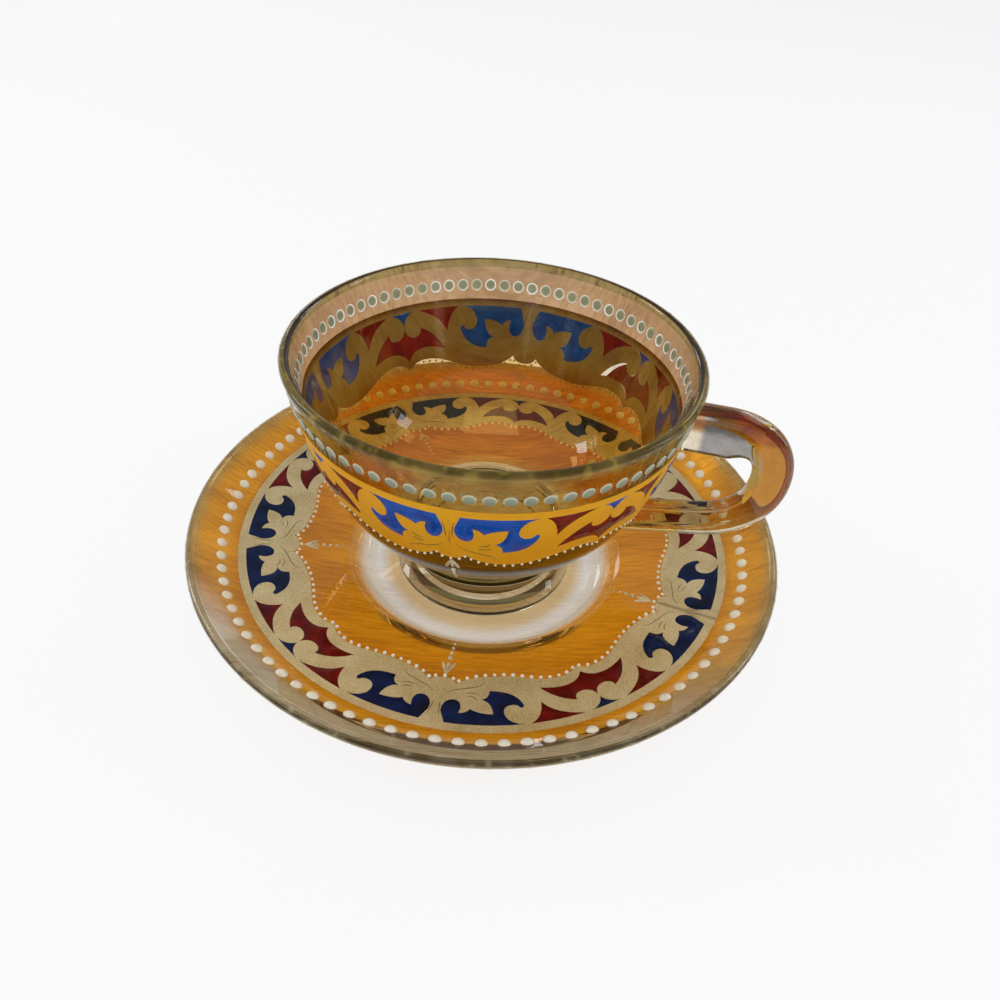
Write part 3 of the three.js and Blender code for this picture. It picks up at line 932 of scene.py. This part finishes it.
def radius_of(board, place):
    x, y, _ = board.axes(place)
    return (x * x + y * y) ** 0.5


def streaks(board, place, dark):
    """Fine drawn streaks that run along one line through the glass, from a dark tone to white."""
    turned = board.add("ShaderNodeMapping", {
        "Vector": place, "Rotation": (0, 0, math.radians(-CAMERA_TURN))})
    fine = board.noise(board.scaled(turned, FINE_STREAKS), 1.0, 3, 0.6)
    broad = board.noise(board.scaled(turned, BROAD_STREAKS), 1.0, 2, 0.5)
    return board.ramp(FINE_SHARE * fine + (1 - FINE_SHARE) * broad, (0.36, dark), (0.6, "#FFFFFF"))


def saucer_glass_material():
    made, board = material("honey_saucer_glass")
    place = board.place()
    _, y, _ = board.axes(place)
    share = radius_of(board, place) / (saucer_rim * MM)
    # The pale grey stops from 0.375 to 0.43, round the well's step, are a painted highlight: a ring of
    # silver sheen laid into the tint.
    tint = board.ramp(
        share,
        (0.0, "#D4C2A0"),
        (0.27, "#D0BA90"),
        (0.33, "#D0B484"),
        (0.375, "#DEDAD4"),
        (0.43, "#DAD0BE"),
        (0.475, "#D49028"),
        (0.5, "#D68E18"),
        (0.63, "#D08414"),
        (0.85, "#CC8618"),
        (0.9, "#DE9A1C"),
        (0.955, "#D8941E"),
        (0.985, "#B09050"),
    )
    # The front of the flange, the side that faces the camera, is mixed to pale grey: a painted reflection.
    front = eased(board, 0 - y / (saucer_rim * MM), *FLANGE_FRONT_SHEEN) * eased(board, share, *FLANGE_RING)
    tint = board.mix(front, tint, "#E2DFD6")
    grain = streaks(board, place, "#8E6A50")
    streaked = WELL_STREAKS + (BRIM_STREAKS - WELL_STREAKS) * eased(board, share, *BRIM_RING)
    tone = board.mix(streaked, tint, grain, "MULTIPLY")
    # The edge colour #B8A684 is painted shade for the saucer's rims and edges.
    glass(board, tone, 0.02, "#E8C890", "#B8A684", SAUCER_BOUNCES)
    return made


def eased(board, value, start, end):
    """0 before start, 1 after end, and smooth between."""
    sockets = {"Value": value, 1: start, 2: end}
    return board.add("ShaderNodeMapRange", sockets, interpolation_type="SMOOTHSTEP")


def under_dots(board, x, y, z):
    """1 behind each of the cup's dots, where the stain was kept off the glass."""
    turns = y.math("ARCTAN2", x) * (CUP_DOTS / (2 * math.pi))
    height = cup_height - CUP_DOT_DROP
    pitch = 2 * math.pi * bowl_radius(height) / CUP_DOTS
    aside = ((turns + 0.5).math("FRACT") - 0.5) * pitch
    above = z / MM - (height + cup_base)
    away = (aside * aside + above * above) ** 0.5
    return 1 - eased(board, away, DOT_DIAMETER * 0.5, DOT_DIAMETER * CLEAR_PATCH)


def outer_face(board, place, share):
    """1 on the outside of the bowl's wall near the lip, where the stain lies, and 0 on its inside."""
    low = bowl_radius(BORDER_FROM * cup_height) - BOWL_WALL / 2
    high = cup_lip[0]
    middle = low + (share - BORDER_FROM) * ((high - low) / (1 - BORDER_FROM))
    return eased(board, radius_of(board, place) / MM - middle, -FACE_BLEND, FACE_BLEND)


def cup_glass_material():
    made, board = material("honey_cup_glass")
    place = board.place()
    x, y, z = board.axes(place)
    share = (z / MM - cup_base) / cup_height
    bowl = board.ramp(
        share,
        (0.0, "#FAF9F6"),
        (0.2, "#F8F4EE"),
        (0.27, "#F6DC94"),
        (0.45, "#F0C458"),
        (0.55, "#EEB850"),
        (0.61, "#F4DCA0"),
        (0.67, "#F8F0DC"),
        (0.8, "#F6ECD4"),
        (0.835, "#CBA47A"),
        (0.95, "#BE966C"),
        (0.985, "#C2B26A"),
    )
    past_rim = eased(board, radius_of(board, place) / MM - cup_rim, *HANDLE_TINT_FROM)
    # Round the handle's hole the glass is tinted grey instead of amber: painted shade for its darker,
    # silvery inner part.
    aside = (x / MM - HANDLE_SHADE_MIDDLE[0]) / HANDLE_SHADE_REACH[0]
    above = (z / MM - cup_base - HANDLE_SHADE_MIDDLE[1]) / HANDLE_SHADE_REACH[1]
    outer_part = eased(board, (aside * aside + above * above) ** 0.5, *HANDLE_SHADE_EDGE)
    upper_part = eased(board, z / MM - cup_base, HANDLE_AMBER_FROM, HANDLE_AMBER_FULL)
    amber = board.mix(upper_part, "#E8DCBC", "#C4841C")
    handle = board.mix(outer_part, "#A6A6A6", amber)
    grain = streaks(board, place, "#B8A492")
    border = eased(board, share, BORDER_FROM, BORDER_FULL)
    front = eased(board, 0 - y / (cup_rim * MM), *BORDER_FRONT) * border
    bowl = board.mix(front, bowl, "#EADCA8")
    stained = board.mix(CUP_STREAKS, board.mix(past_rim, bowl, handle), grain, "MULTIPLY")
    outer = outer_face(board, place, share)
    once = board.mix(border * (1 - outer), stained, "#FFFFFF")
    twice = board.mix(border * outer, once, board.mix(1.0, stained, stained, "MULTIPLY"))
    kept_clear = board.mix(under_dots(board, x, y, z) * outer, twice, "#FFFFFF")
    # The edge colour #A49658 is painted shade for the cup's rims and edges.
    glass(board, kept_clear, 0.01, "#F4E8CC", "#A49658", CUP_BOUNCES)
    return made


def gold_material(name, pale, deep, rough, stipple, sheen=0.45, glow=0.0):
    """Fired gold: stippled by fine grains, a little deeper in colour where it is thin. The glow is painted
    light, an emission that stands in for the light that reaches its underside through the glass."""
    made, board = material(name)
    place = board.place()
    grains = board.noise(place, GOLD_GRAINS, 2, 0.7)
    clouds = board.noise(place, GOLD_CLOUDS, 3)
    height = board.add("ShaderNodeBump", {"Strength": stipple, "Distance": GRAIN_DEPTH, "Height": grains})
    speck = eased(board, grains, 0.36, 0.62)
    tone = board.mix(SPECK_SHARE * speck + (1 - SPECK_SHARE) * clouds, deep, pale)
    surfaced(board, principled(board, {
        "Base Color": tone, "Metallic": sheen, "Roughness": rough + 0.25 * grains, "Normal": height,
        "Emission Color": tone, "Emission Strength": glow,
    }))
    return made


def enamel_material(name, pale, deep, clear):
    """Glossy enamel with cloudy depth. Its clear share lets light through."""
    made, board = material(name)
    place = board.place()
    clouds = board.noise(place, ENAMEL_CLOUDS, 3)
    ripples = board.noise(place, ENAMEL_RIPPLES, 1)
    height = board.add("ShaderNodeBump", {"Strength": 0.35, "Distance": RIPPLE_DEPTH, "Height": ripples})
    surfaced(board, principled(board, {
        "Base Color": board.ramp(clouds, (0.3, deep), (0.72, pale)), "Roughness": 0.12, "IOR": ENAMEL_IOR,
        "Transmission Weight": clear, "Specular IOR Level": 0.22, "Normal": height,
    }))
    return made


def clouded_material(name, scale, deep, pale, finish):
    """Plain paint with faint clouds in its colour."""
    made, board = material(name)
    clouds = board.noise(board.place(), scale, 2)
    tone = board.ramp(clouds, (0.3, deep), (0.7, pale))
    surfaced(board, principled(board, {"Base Color": tone, **finish}))
    return made


def thin_enamel_material(name, glow):
    """White enamel fired thin in the middle of each dot, so that it reads grey there. The glow is painted
    light, an emission that stands in for the light that comes through it from the other side."""
    made, board = material(name)
    thin = board.add("ShaderNodeAttribute", attribute_name="thin").out("Fac")
    tone = board.ramp(thin, (0.35, "#C6C6AC"), (0.65, "#949A82"))
    surfaced(board, principled(board, {
        "Base Color": tone, "Roughness": 0.35, "Emission Color": tone, "Emission Strength": glow,
    }))
    return made


def worn_gilding_material(name, film, left, dull, bright):
    """Lip gilding rubbed down to a thin film, with dashes of gold left on it."""
    made, board = material(name)
    place = board.place()
    rubbed = board.noise(place, WORN_DASHES, 3, 0.6)
    tone = board.noise(place, WORN_TONES, 2)
    surfaced(board, principled(board, {
        "Base Color": board.ramp(tone, (0.4, dull), (0.62, bright)),
        "Metallic": 0.2, "Roughness": 0.3 + 0.2 * rubbed,
        "Alpha": film + left * eased(board, rubbed, 0.56, 0.64),
    }))
    return made


# Ornament grown by geometry nodes

GEOMETRY = "NodeSocketGeometry"
FLOAT = "NodeSocketFloat"
OBJECT = "NodeSocketObject"
MATERIAL = "NodeSocketMaterial"
SEEDED = [("seat", "FLOAT_VECTOR"), ("face", "FLOAT_VECTOR"), ("size", "FLOAT"), ("back", "BOOLEAN")]
PLANTING = [("Shape", OBJECT), ("Unevenness", FLOAT), ("Material", MATERIAL), ("Back Material", MATERIAL)]


def grower(name, inputs):
    """An empty geometry tree with named inputs, and its input node."""
    tree = bpy.data.node_groups.new(name, "GeometryNodeTree")
    for label, kind in (("Geometry", GEOMETRY), *inputs):
        tree.interface.new_socket(label, in_out="INPUT", socket_type=kind)
    tree.interface.new_socket("Geometry", in_out="OUTPUT", socket_type=GEOMETRY)
    board = Board(tree)
    return tree, board, board.add("NodeGroupInput")


def planting_tree(name, pitched):
    """Sets a shape at each point, or at steps along lines, standing on its seat and turned to its face."""
    tree, board, given = grower(name, [("Pitch", FLOAT)] * pitched + PLANTING)
    seeds = given.out("Geometry")
    if pitched:
        lines = board.add("GeometryNodeMeshToCurve", {"Mesh": seeds})
        pitch = given.out("Pitch")
        steps = board.add("GeometryNodeResampleCurve", {"Curve": lines, "Length": pitch}, mode="LENGTH")
        points = board.add("GeometryNodeCurveToPoints", {"Curve": steps}, mode="EVALUATED").out("Points")
    else:
        points = board.add("GeometryNodeMeshToPoints", {"Mesh": seeds})
    seat, face, size, back = [
        board.add("GeometryNodeInputNamedAttribute", {"Name": name}, data_type=kind)
        for name, kind in SEEDED
    ]
    stand = board.add("FunctionNodeAlignRotationToVector", {"Vector": seat}, axis="Z")
    turned = board.add("FunctionNodeAlignRotationToVector", {
        "Rotation": stand, "Vector": face}, axis="X", pivot_axis="Z")
    spread = board.add("FunctionNodeRandomValue", {
        "Min": -1.0, "Max": 1.0, "Seed": PLANTING_SEED}, data_type="FLOAT")
    scale = size * (1 + given.out("Unevenness") * spread)
    shape = board.add("GeometryNodeObjectInfo", {"Object": given.out("Shape")}).out("Geometry")
    grown = board.add("GeometryNodeInstanceOnPoints", {
        "Points": points, "Instance": shape, "Rotation": turned, "Scale": scale})
    real = board.add("GeometryNodeRealizeInstances", {"Geometry": grown})
    painted = board.add("GeometryNodeSetMaterial", {"Geometry": real, "Material": given.out("Material")})
    backed = board.add("GeometryNodeSetMaterial", {
        "Geometry": painted, "Selection": back, "Material": given.out("Back Material")})
    board.add("NodeGroupOutput", {"Geometry": backed})
    return tree


def line_tree():
    """Draws thin round lines that taper to both ends."""
    tree, board, given = grower("tapered_lines", [("Width", FLOAT), ("Material", MATERIAL)])
    lines = board.add("GeometryNodeMeshToCurve", {"Mesh": given.out("Geometry")})
    share = board.add("GeometryNodeSplineParameter").out("Factor")
    taper = VEIN_END + VEIN_SWELL * share * (1 - share)
    round_section = board.add("GeometryNodeCurvePrimitiveCircle", {
        "Resolution": 6, "Radius": given.out("Width") * 0.5}, mode="RADIUS")
    drawn = board.add("GeometryNodeCurveToMesh", {
        "Curve": lines, "Profile Curve": round_section.out("Curve"), "Scale": taper, "Fill Caps": True})
    real = board.add("GeometryNodeRealizeInstances", {"Geometry": drawn})
    painted = board.add("GeometryNodeSetMaterial", {"Geometry": real, "Material": given.out("Material")})
    board.add("NodeGroupOutput", {"Geometry": painted})
    return tree


def seed_lines(name, lines):
    """A mesh of loose lines or points in millimetres, each with its seat, face and size."""
    points = np.vstack([line["points"] for line in lines])
    edges, count = [], 0
    for line in lines:
        length = len(line["points"])
        edges += [(count + i, count + i + 1) for i in range(length - 1)] if line.get("joined", True) else []
        if line.get("ring"):
            edges.append((count + length - 1, count))
        count += length
    mesh = bpy.data.meshes.new(name)
    mesh.from_pydata((points * MM).tolist(), edges, [])
    for label in ("seat", "face"):
        values = np.vstack([line[label] for line in lines]).astype(np.float32)
        mesh.attributes.new(label, "FLOAT_VECTOR", "POINT").data.foreach_set("vector", values.ravel())
    sizes = np.concatenate([np.broadcast_to(line.get("size", 1.0), len(line["points"])) for line in lines])
    mesh.attributes.new("size", "FLOAT", "POINT").data.foreach_set("value", sizes.astype(np.float32))
    return placed(name, mesh)


def grow(piece, tree, values):
    """Runs a geometry tree on a piece and leaves the plain mesh that it makes."""
    modifier = piece.modifiers.new("grow", "NODES")
    modifier.node_group = tree
    names = {s.name: s.identifier for s in tree.interface.items_tree if s.in_out == "INPUT"}
    for label, value in values.items():
        modifier[names[label]] = value
    bake(piece)
    piece.data.shade_smooth()
    return piece


def dome(name, diameter, height, around, rings):
    """A bead: a round dome on a flat base, with its thin middle marked and the faces of its base."""
    bm = bmesh.new()
    thin = bm.verts.layers.float.new("thin")
    back = bm.faces.layers.bool.new("back")
    turns = np.linspace(0, 2 * math.pi, around, endpoint=False)
    middle = bm.verts.new((0, 0, 0))
    middle[thin] = 1
    rises = np.linspace(0, math.pi / 2, rings + 1)[:-1]
    levels = [(DOT_THIN_SHARE, 0.0)] + [(math.cos(a), math.sin(a)) for a in rises]
    hoops = []
    for share, rise in levels:
        out = share * diameter / 2
        hoop = [bm.verts.new((out * math.cos(t), out * math.sin(t), rise * height)) for t in turns]
        for vert in hoop:
            vert[thin] = float(share < THIN_BELOW)
        hoops.append(hoop)
    top = bm.verts.new((0, 0, height))
    top[thin] = 1
    for i in range(around):
        j = (i + 1) % around
        bm.faces.new((middle, hoops[0][j], hoops[0][i]))[back] = True
        for level, (low, high) in enumerate(zip(hoops[:-1], hoops[1:])):
            bm.faces.new((low[i], low[j], high[j], high[i]))[back] = level == 0
        bm.faces.new((hoops[-1][i], hoops[-1][j], top))
    bmesh.ops.recalc_face_normals(bm, faces=bm.faces)
    return finished(name, bm, [], 60)


def petal(name):
    """A drop of enamel drawn out from a fine point at the root to a round end."""
    bm = bmesh.new()
    along = np.linspace(0, 1, 9)
    half = PETAL_WIDTH / 2 * np.sin(math.pi * along ** PETAL_LEAN) ** PETAL_FULLNESS
    rings = []
    for share, wide in zip(along, half):
        x = share * PETAL_LENGTH
        if wide < 1e-4:
            rings.append([bm.verts.new((x, 0, 0))])
            continue
        turns = np.linspace(0, math.pi, 6)
        arch = [bm.verts.new((x, wide * math.cos(t), PETAL_HEIGHT * math.sin(t) * wide / PETAL_WIDTH * 2))
                for t in turns]
        rings.append(arch)
    skin(bm, rings)
    bmesh.ops.recalc_face_normals(bm, faces=bm.faces)
    return finished(name, bm, [], 60)


def towards(vectors):
    return vectors / np.linalg.norm(vectors, axis=-1, keepdims=True)


def laid(surface, angle, run, **extra):
    """Places on a surface as seed_lines takes them, facing along the line."""
    angle, run = np.broadcast_arrays(np.asarray(angle, float), np.asarray(run, float))
    points, normals = surface.at(angle, run)
    points = points + normals * LAYER_GAP
    face = np.gradient(points, axis=0) if len(points) > 1 else np.ones((1, 3))
    return {"points": points, "seat": normals, "face": towards(face), **extra}


def edge_ring(band, size):
    """The line of beads just beyond the scalloped edge, right round."""
    edge = scalloped_edge()
    angles, runs = [], []
    for half in band.halves:
        side = edge if half % 2 == 0 else edge[::-1]
        angles.append(band.angle(half, side[:, 0])[:-1])
        runs.append(side[:-1, 1] * band.depth + BEAD_MARGIN)
    return laid(band.surface, np.concatenate(angles), np.concatenate(runs), ring=True, size=size)


def dot_row(surface, count, run):
    angle = np.arange(count) * 2 * math.pi / count
    return laid(surface, angle, np.full(count, run), joined=False)


def sprig_places(band):
    """The roots of the petals, and the fine dots that run on from the middle one."""
    petals, dots = [], []
    for palmette in band.palmettes:
        root = band.depth + SPRIG_MARGIN
        angle = math.radians(palmette)
        for fan in (-PETAL_FAN, 0, PETAL_FAN):
            length = np.array([0, PETAL_LENGTH * 0.5])
            radius = np.interp(root, band.surface.runs, band.surface.radii)
            aside = angle + length * math.sin(math.radians(fan)) / radius
            line = laid(band.surface, aside, root + length * math.cos(math.radians(fan)), joined=False)
            petals.append({key: value[:1] if key in ("points", "seat", "face") else value
                           for key, value in line.items()})
        runs = root + PETAL_LENGTH + SPRIG_DOT_GAP + SPRIG_DOT_PITCH * np.arange(SPRIG_DOTS)
        sizes = np.linspace(1.0, 0.65, SPRIG_DOTS)
        dots.append(laid(band.surface, np.full(SPRIG_DOTS, angle), runs, joined=False, size=sizes))
    return petals, dots


VEINS = [
    [(0.05, 0.62), (0.09, 0.74), (0.18, 0.8), (0.26, 0.88), (0.285, 0.98)],
    [(0.17, 0.69), (0.22, 0.7), (0.265, 0.66)],
    [(0.18, 0.62), (0.225, 0.61), (0.245, 0.54)],
    [(0.02, 0.46), (0.024, 0.3), (0.034, 0.13)],
]


def smooth_line(points, steps=16):
    """A smooth line through a few points."""
    points = np.array(points, float)
    knots = np.linspace(0, 1, len(points))
    t = np.linspace(0, 1, steps)
    order = min(3, len(points) - 1)
    return np.stack([np.polyval(np.polyfit(knots, points[:, k], order), t) for k in (0, 1)], 1)


def vein_lines(band):
    lines = []
    for half in band.halves:
        for vein in VEINS:
            line = smooth_line(vein)
            points = band.spot(half, line, np.full(len(line), LAYER_GAP + GILDING))
            lines.append({"points": points, "seat": points, "face": points})
    return lines


# Assembly

def join(name, pieces):
    """One piece from several."""
    bm = bmesh.new()
    materials = []
    for piece in pieces:
        start = len(bm.faces)
        bm.from_mesh(piece.data)
        bm.faces.ensure_lookup_table()
        for m in piece.data.materials:
            if m not in materials:
                materials.append(m)
        places = [materials.index(m) for m in piece.data.materials]
        for face in bm.faces[start:]:
            face.material_index = places[face.material_index]
        bpy.data.objects.remove(piece)
    mesh = bpy.data.meshes.new(name)
    bm.to_mesh(mesh)
    bm.free()
    mesh.shade_smooth()
    for m in materials:
        mesh.materials.append(m)
    return placed(name, mesh)


def settle(piece, body, slot, *nodes):
    """Puts a finished piece on its body and hides the CAD nodes that it stands for. Its slot is not used."""
    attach(piece, body)
    if nodes:
        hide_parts(*nodes)


def numbered(stem):
    return sorted(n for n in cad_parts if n.startswith(stem))


white = clouded_material("white_enamel", 700, "#EDE2C6", "#FBF5E6", {
    "Roughness": 0.3, "Coat Weight": 0.25,
    "Subsurface Weight": 0.25, "Subsurface Radius": (1, 1, 0.9), "Subsurface Scale": 0.001})
thin_white = thin_enamel_material("thin_white_enamel", 0.0)
# The back's glow of 0.06 is painted light.
thin_white_back = thin_enamel_material("thin_white_enamel_back", 0.06)
sprig_white = clouded_material("sprig_enamel", 700, "#B9A075", "#E6D9B8", {"Roughness": 0.4})
dark_line = clouded_material("dark_line", 900, "#3A2C14", "#6A5428", {"Roughness": 0.5})
saucer_worn = worn_gilding_material("saucer_worn_gilding", 0.08, 0.2, "#8E7C48", "#D2C69C")
cup_worn = worn_gilding_material("cup_worn_gilding", 0.2, 0.25, "#7E6A20", "#B89C48")
saucer_gold = gold_material("saucer_gold", "#FFF2C8", "#B4944A", 0.34, 0.3, sheen=0.6)
cup_gold = gold_material("cup_gold", "#FFC828", "#FAAA0C", 0.32, 0.3)
# The underside's glow of 0.1 is painted light.
saucer_gold_back = gold_material("saucer_gold_underside", "#C6AC6A", "#967A3C", 0.35, 0.2, glow=0.1)
cup_gold_back = gold_material("cup_gold_underside", "#C6AC6A", "#967A3C", 0.35, 0.2)
navy = enamel_material("navy_enamel", "#0A2250", "#040E26", 0.0)
blue = enamel_material("blue_enamel", "#1066D4", "#0044A4", 0.25)
ruby = enamel_material("ruby_enamel", "#761010", "#420606", 0.0)
cup_ruby = enamel_material("cup_ruby_enamel", "#A01818", "#6E0A0A", 0.4)

saucer_steps = [360 / SAUCER_REPEATS * i for i in range(SAUCER_REPEATS)]
saucer_band = Band(
    saucer_surface(),
    [SAUCER_TURN + step for step in saucer_steps],
    [SAUCER_TURN + step + 180 / SAUCER_REPEATS for step in saucer_steps],
    SAUCER_BAND,
    SAUCER_LINE,
)
cup_band = Band(cup_surface(), CUP_PALMETTES, CUP_HEARTS, CUP_BAND, CUP_LINE)

settle(saucer_glass(saucer_glass_material()), "saucer", "saucer_glass", "saucer_plate")
settle(cup_glass(cup_glass_material()), "cup", "bowl_glass", "cup_bowl", "cup_foot", "cup_handle")

saucer_lip_edge = saucer_lip + (SAUCER_LIP / 2, 0)
settle(lip_gilding("saucer_lip_gold", saucer_lip, SAUCER_LIP / 2, saucer_lip_edge, saucer_worn),
       "saucer", "worn_gilding", "saucer_lip_gilding")
cup_drop = cup_lip[1] - LIP_GILDING_DROP
settle(lip_gilding("cup_lip_gold", cup_lip + (0, cup_base), BOWL_WALL / 2,
                   (bowl_radius(cup_drop), cup_drop + cup_base), cup_worn),
       "cup", "worn_gilding", "cup_lip_gilding")

blue_outlines = [(blue_panel(), False), (mirrored(blue_corner_side()), True)]
ruby_outlines = [(ruby_corner(), False), (mirrored(ruby_heart_side())[:-1], True)]
for stem, band, gold, gold_back, panes, hearts in (
    ("saucer", saucer_band, saucer_gold, saucer_gold_back, navy, ruby),
    ("cup", cup_band, cup_gold, cup_gold_back, blue, cup_ruby),
):
    settle(gold_band(stem + "_gold", band, [gold, gold_back]), stem, "gilding", stem + "_gold_band")
    settle(enamel_panels(stem + "_blue", band, blue_outlines, [panes, panes]),
           stem, "blue_enamel", *numbered(stem + "_blue_panel"))
    settle(enamel_panels(stem + "_ruby", band, ruby_outlines, [hearts, hearts]),
           stem, "ruby_enamel", *numbered(stem + "_ruby_heart"), *numbered(stem + "_ruby_corner"))

along_lines = planting_tree("planted_along_lines", True)
at_points = planting_tree("planted_at_points", False)
drawn_lines = line_tree()
bead_shape = dome("bead_shape", BEAD_DIAMETER, BEAD_HEIGHT, around=8, rings=3)
petal_shape = petal("petal_shape")
for stem, band, count, dot_run, dot_height, dot_white, dot_back, pitch, bead_size in (
    ("saucer", saucer_band, SAUCER_DOTS, saucer_line_inner - SAUCER_DOT_RING, DOT_HEIGHT, white, white,
     SAUCER_BEAD_PITCH, SAUCER_BEAD_SIZE),
    ("cup", cup_band, CUP_DOTS, cup_line_bottom - (cup_height - CUP_DOT_DROP), CUP_DOT_HEIGHT,
     thin_white, thin_white_back, CUP_BEAD_PITCH, CUP_BEAD_SIZE),
):
    dot_shape = dome(stem + "_dot_shape", DOT_DIAMETER, dot_height, around=16, rings=4)
    dots = grow(seed_lines(stem + "_dots", [dot_row(band.surface, count, dot_run)]), at_points,
                {"Shape": dot_shape, "Unevenness": 0.05, "Material": dot_white, "Back Material": dot_back})
    settle(dots, stem, "gilding")
    bpy.data.objects.remove(dot_shape)
    beads = grow(seed_lines(stem + "_beads", [edge_ring(band, bead_size)]), along_lines,
                 {"Pitch": pitch * MM, "Shape": bead_shape, "Unevenness": 0.1,
                  "Material": white, "Back Material": thin_white_back})
    settle(beads, stem, "gilding")
    petals, sprig_dots = sprig_places(band)
    enamel = {"Material": sprig_white, "Back Material": sprig_white}
    sprigs = join(stem + "_sprigs", [
        grow(seed_lines(stem + "_petals", petals), at_points,
             {"Shape": petal_shape, "Unevenness": 0.08, **enamel}),
        grow(seed_lines(stem + "_sprig_dots", sprig_dots), at_points,
             {"Shape": bead_shape, "Unevenness": 0.1, **enamel}),
    ])
    settle(sprigs, stem, "gilding")
    veins = grow(seed_lines(stem + "_veins", vein_lines(band)), drawn_lines,
                 {"Width": VEIN_WIDTH * MM, "Material": dark_line})
    settle(veins, stem, "gilding")
for shape in (bead_shape, petal_shape):
    bpy.data.objects.remove(shape)


# Stage, lights and camera

def floor_material():
    """Pale floor that keeps the object's shadow, and is plain and pale where glass and gold look at it."""
    made, board = material("pale_floor")
    light = board.add("ShaderNodeLightPath")
    seen = light.out("Is Glossy Ray").math("MAXIMUM", light.out("Is Transmission Ray"))
    lit = (seen * GLASS_GLOW).math("MAXIMUM", light.out("Is Camera Ray") * CAMERA_GLOW)
    soft = board.add("ShaderNodeBsdfDiffuse", {"Color": (0.92, 0.92, 0.92, 1)})
    glow = board.add("ShaderNodeEmission", {"Color": (1, 1, 1, 1), "Strength": 1.0})
    surfaced(board, board.add("ShaderNodeMixShader", {0: lit, 1: soft, 2: glow}))
    return made


def floor():
    bm = bmesh.new()
    bmesh.ops.create_grid(bm, x_segments=8, y_segments=8, size=FLOOR_HALF / MM)
    bmesh.ops.translate(bm, vec=(0, 0, -FLOOR_DROP), verts=bm.verts)
    piece = finished("floor", bm, [floor_material()])


def sky():
    """A pale dome, brightest low down and dimmer overhead."""
    world = bpy.data.worlds.new("studio")
    world.use_nodes = True
    bpy.context.scene.world = world
    board = Board(world.node_tree)
    _, _, z = board.axes(board.add("ShaderNodeTexCoord").out("Generated"))
    glow = board.ramp(z, (0.0, (0.75, 0.75, 0.75, 1)), (0.15, (0.5, 0.5, 0.51, 1)),
                      (0.5, (0.36, 0.365, 0.375, 1)))
    light = board.add("ShaderNodeBackground", {"Color": glow, "Strength": 1.0})
    board.add("ShaderNodeOutputWorld", {"Surface": light})


def window(name, place, size, power):
    lamp = bpy.data.lights.new(name, "AREA")
    lamp.shape = "RECTANGLE"
    lamp.size, lamp.size_y = size
    lamp.energy = power
    lamp.color = DAYLIGHT
    holder = placed(name, lamp)
    holder.location = place
    holder.rotation_euler = (-Vector(place)).to_track_quat("-Z", "Y").to_euler()
    return holder


def camera():
    turn = Matrix.Rotation(math.radians(CAMERA_TURN), 3, "Z")
    tilt = Matrix.Rotation(math.radians(90 - CAMERA_ELEVATION), 3, "X")
    swing = Matrix.Rotation(math.radians(-CAMERA_YAW), 3, "Y")
    nod = Matrix.Rotation(math.radians(-CAMERA_PITCH), 3, "X")
    roll = Matrix.Rotation(math.radians(-CAMERA_ROLL), 3, "Z")
    back = tilt @ Vector((0, 0, CAMERA_DISTANCE))
    data = bpy.data.cameras.new("camera")
    data.lens = CAMERA_LENS
    holder = placed("camera", data)
    place = turn @ back + Vector((0, 0, CAMERA_TARGET_HEIGHT))
    holder.matrix_world = Matrix.Translation(place) @ (turn @ tilt @ swing @ nod @ roll).to_4x4()
    data.clip_start = 0.01
    bpy.context.scene.camera = holder


floor()
sky()
for name, place, size, power in WINDOWS:
    window(name, place, size, power)
fill = window("front_fill", FILL_PLACE, FILL_SIZE, FILL_POWER)
fill.visible_glossy = False
camera()
bpy.context.scene.view_settings.view_transform = "Standard"
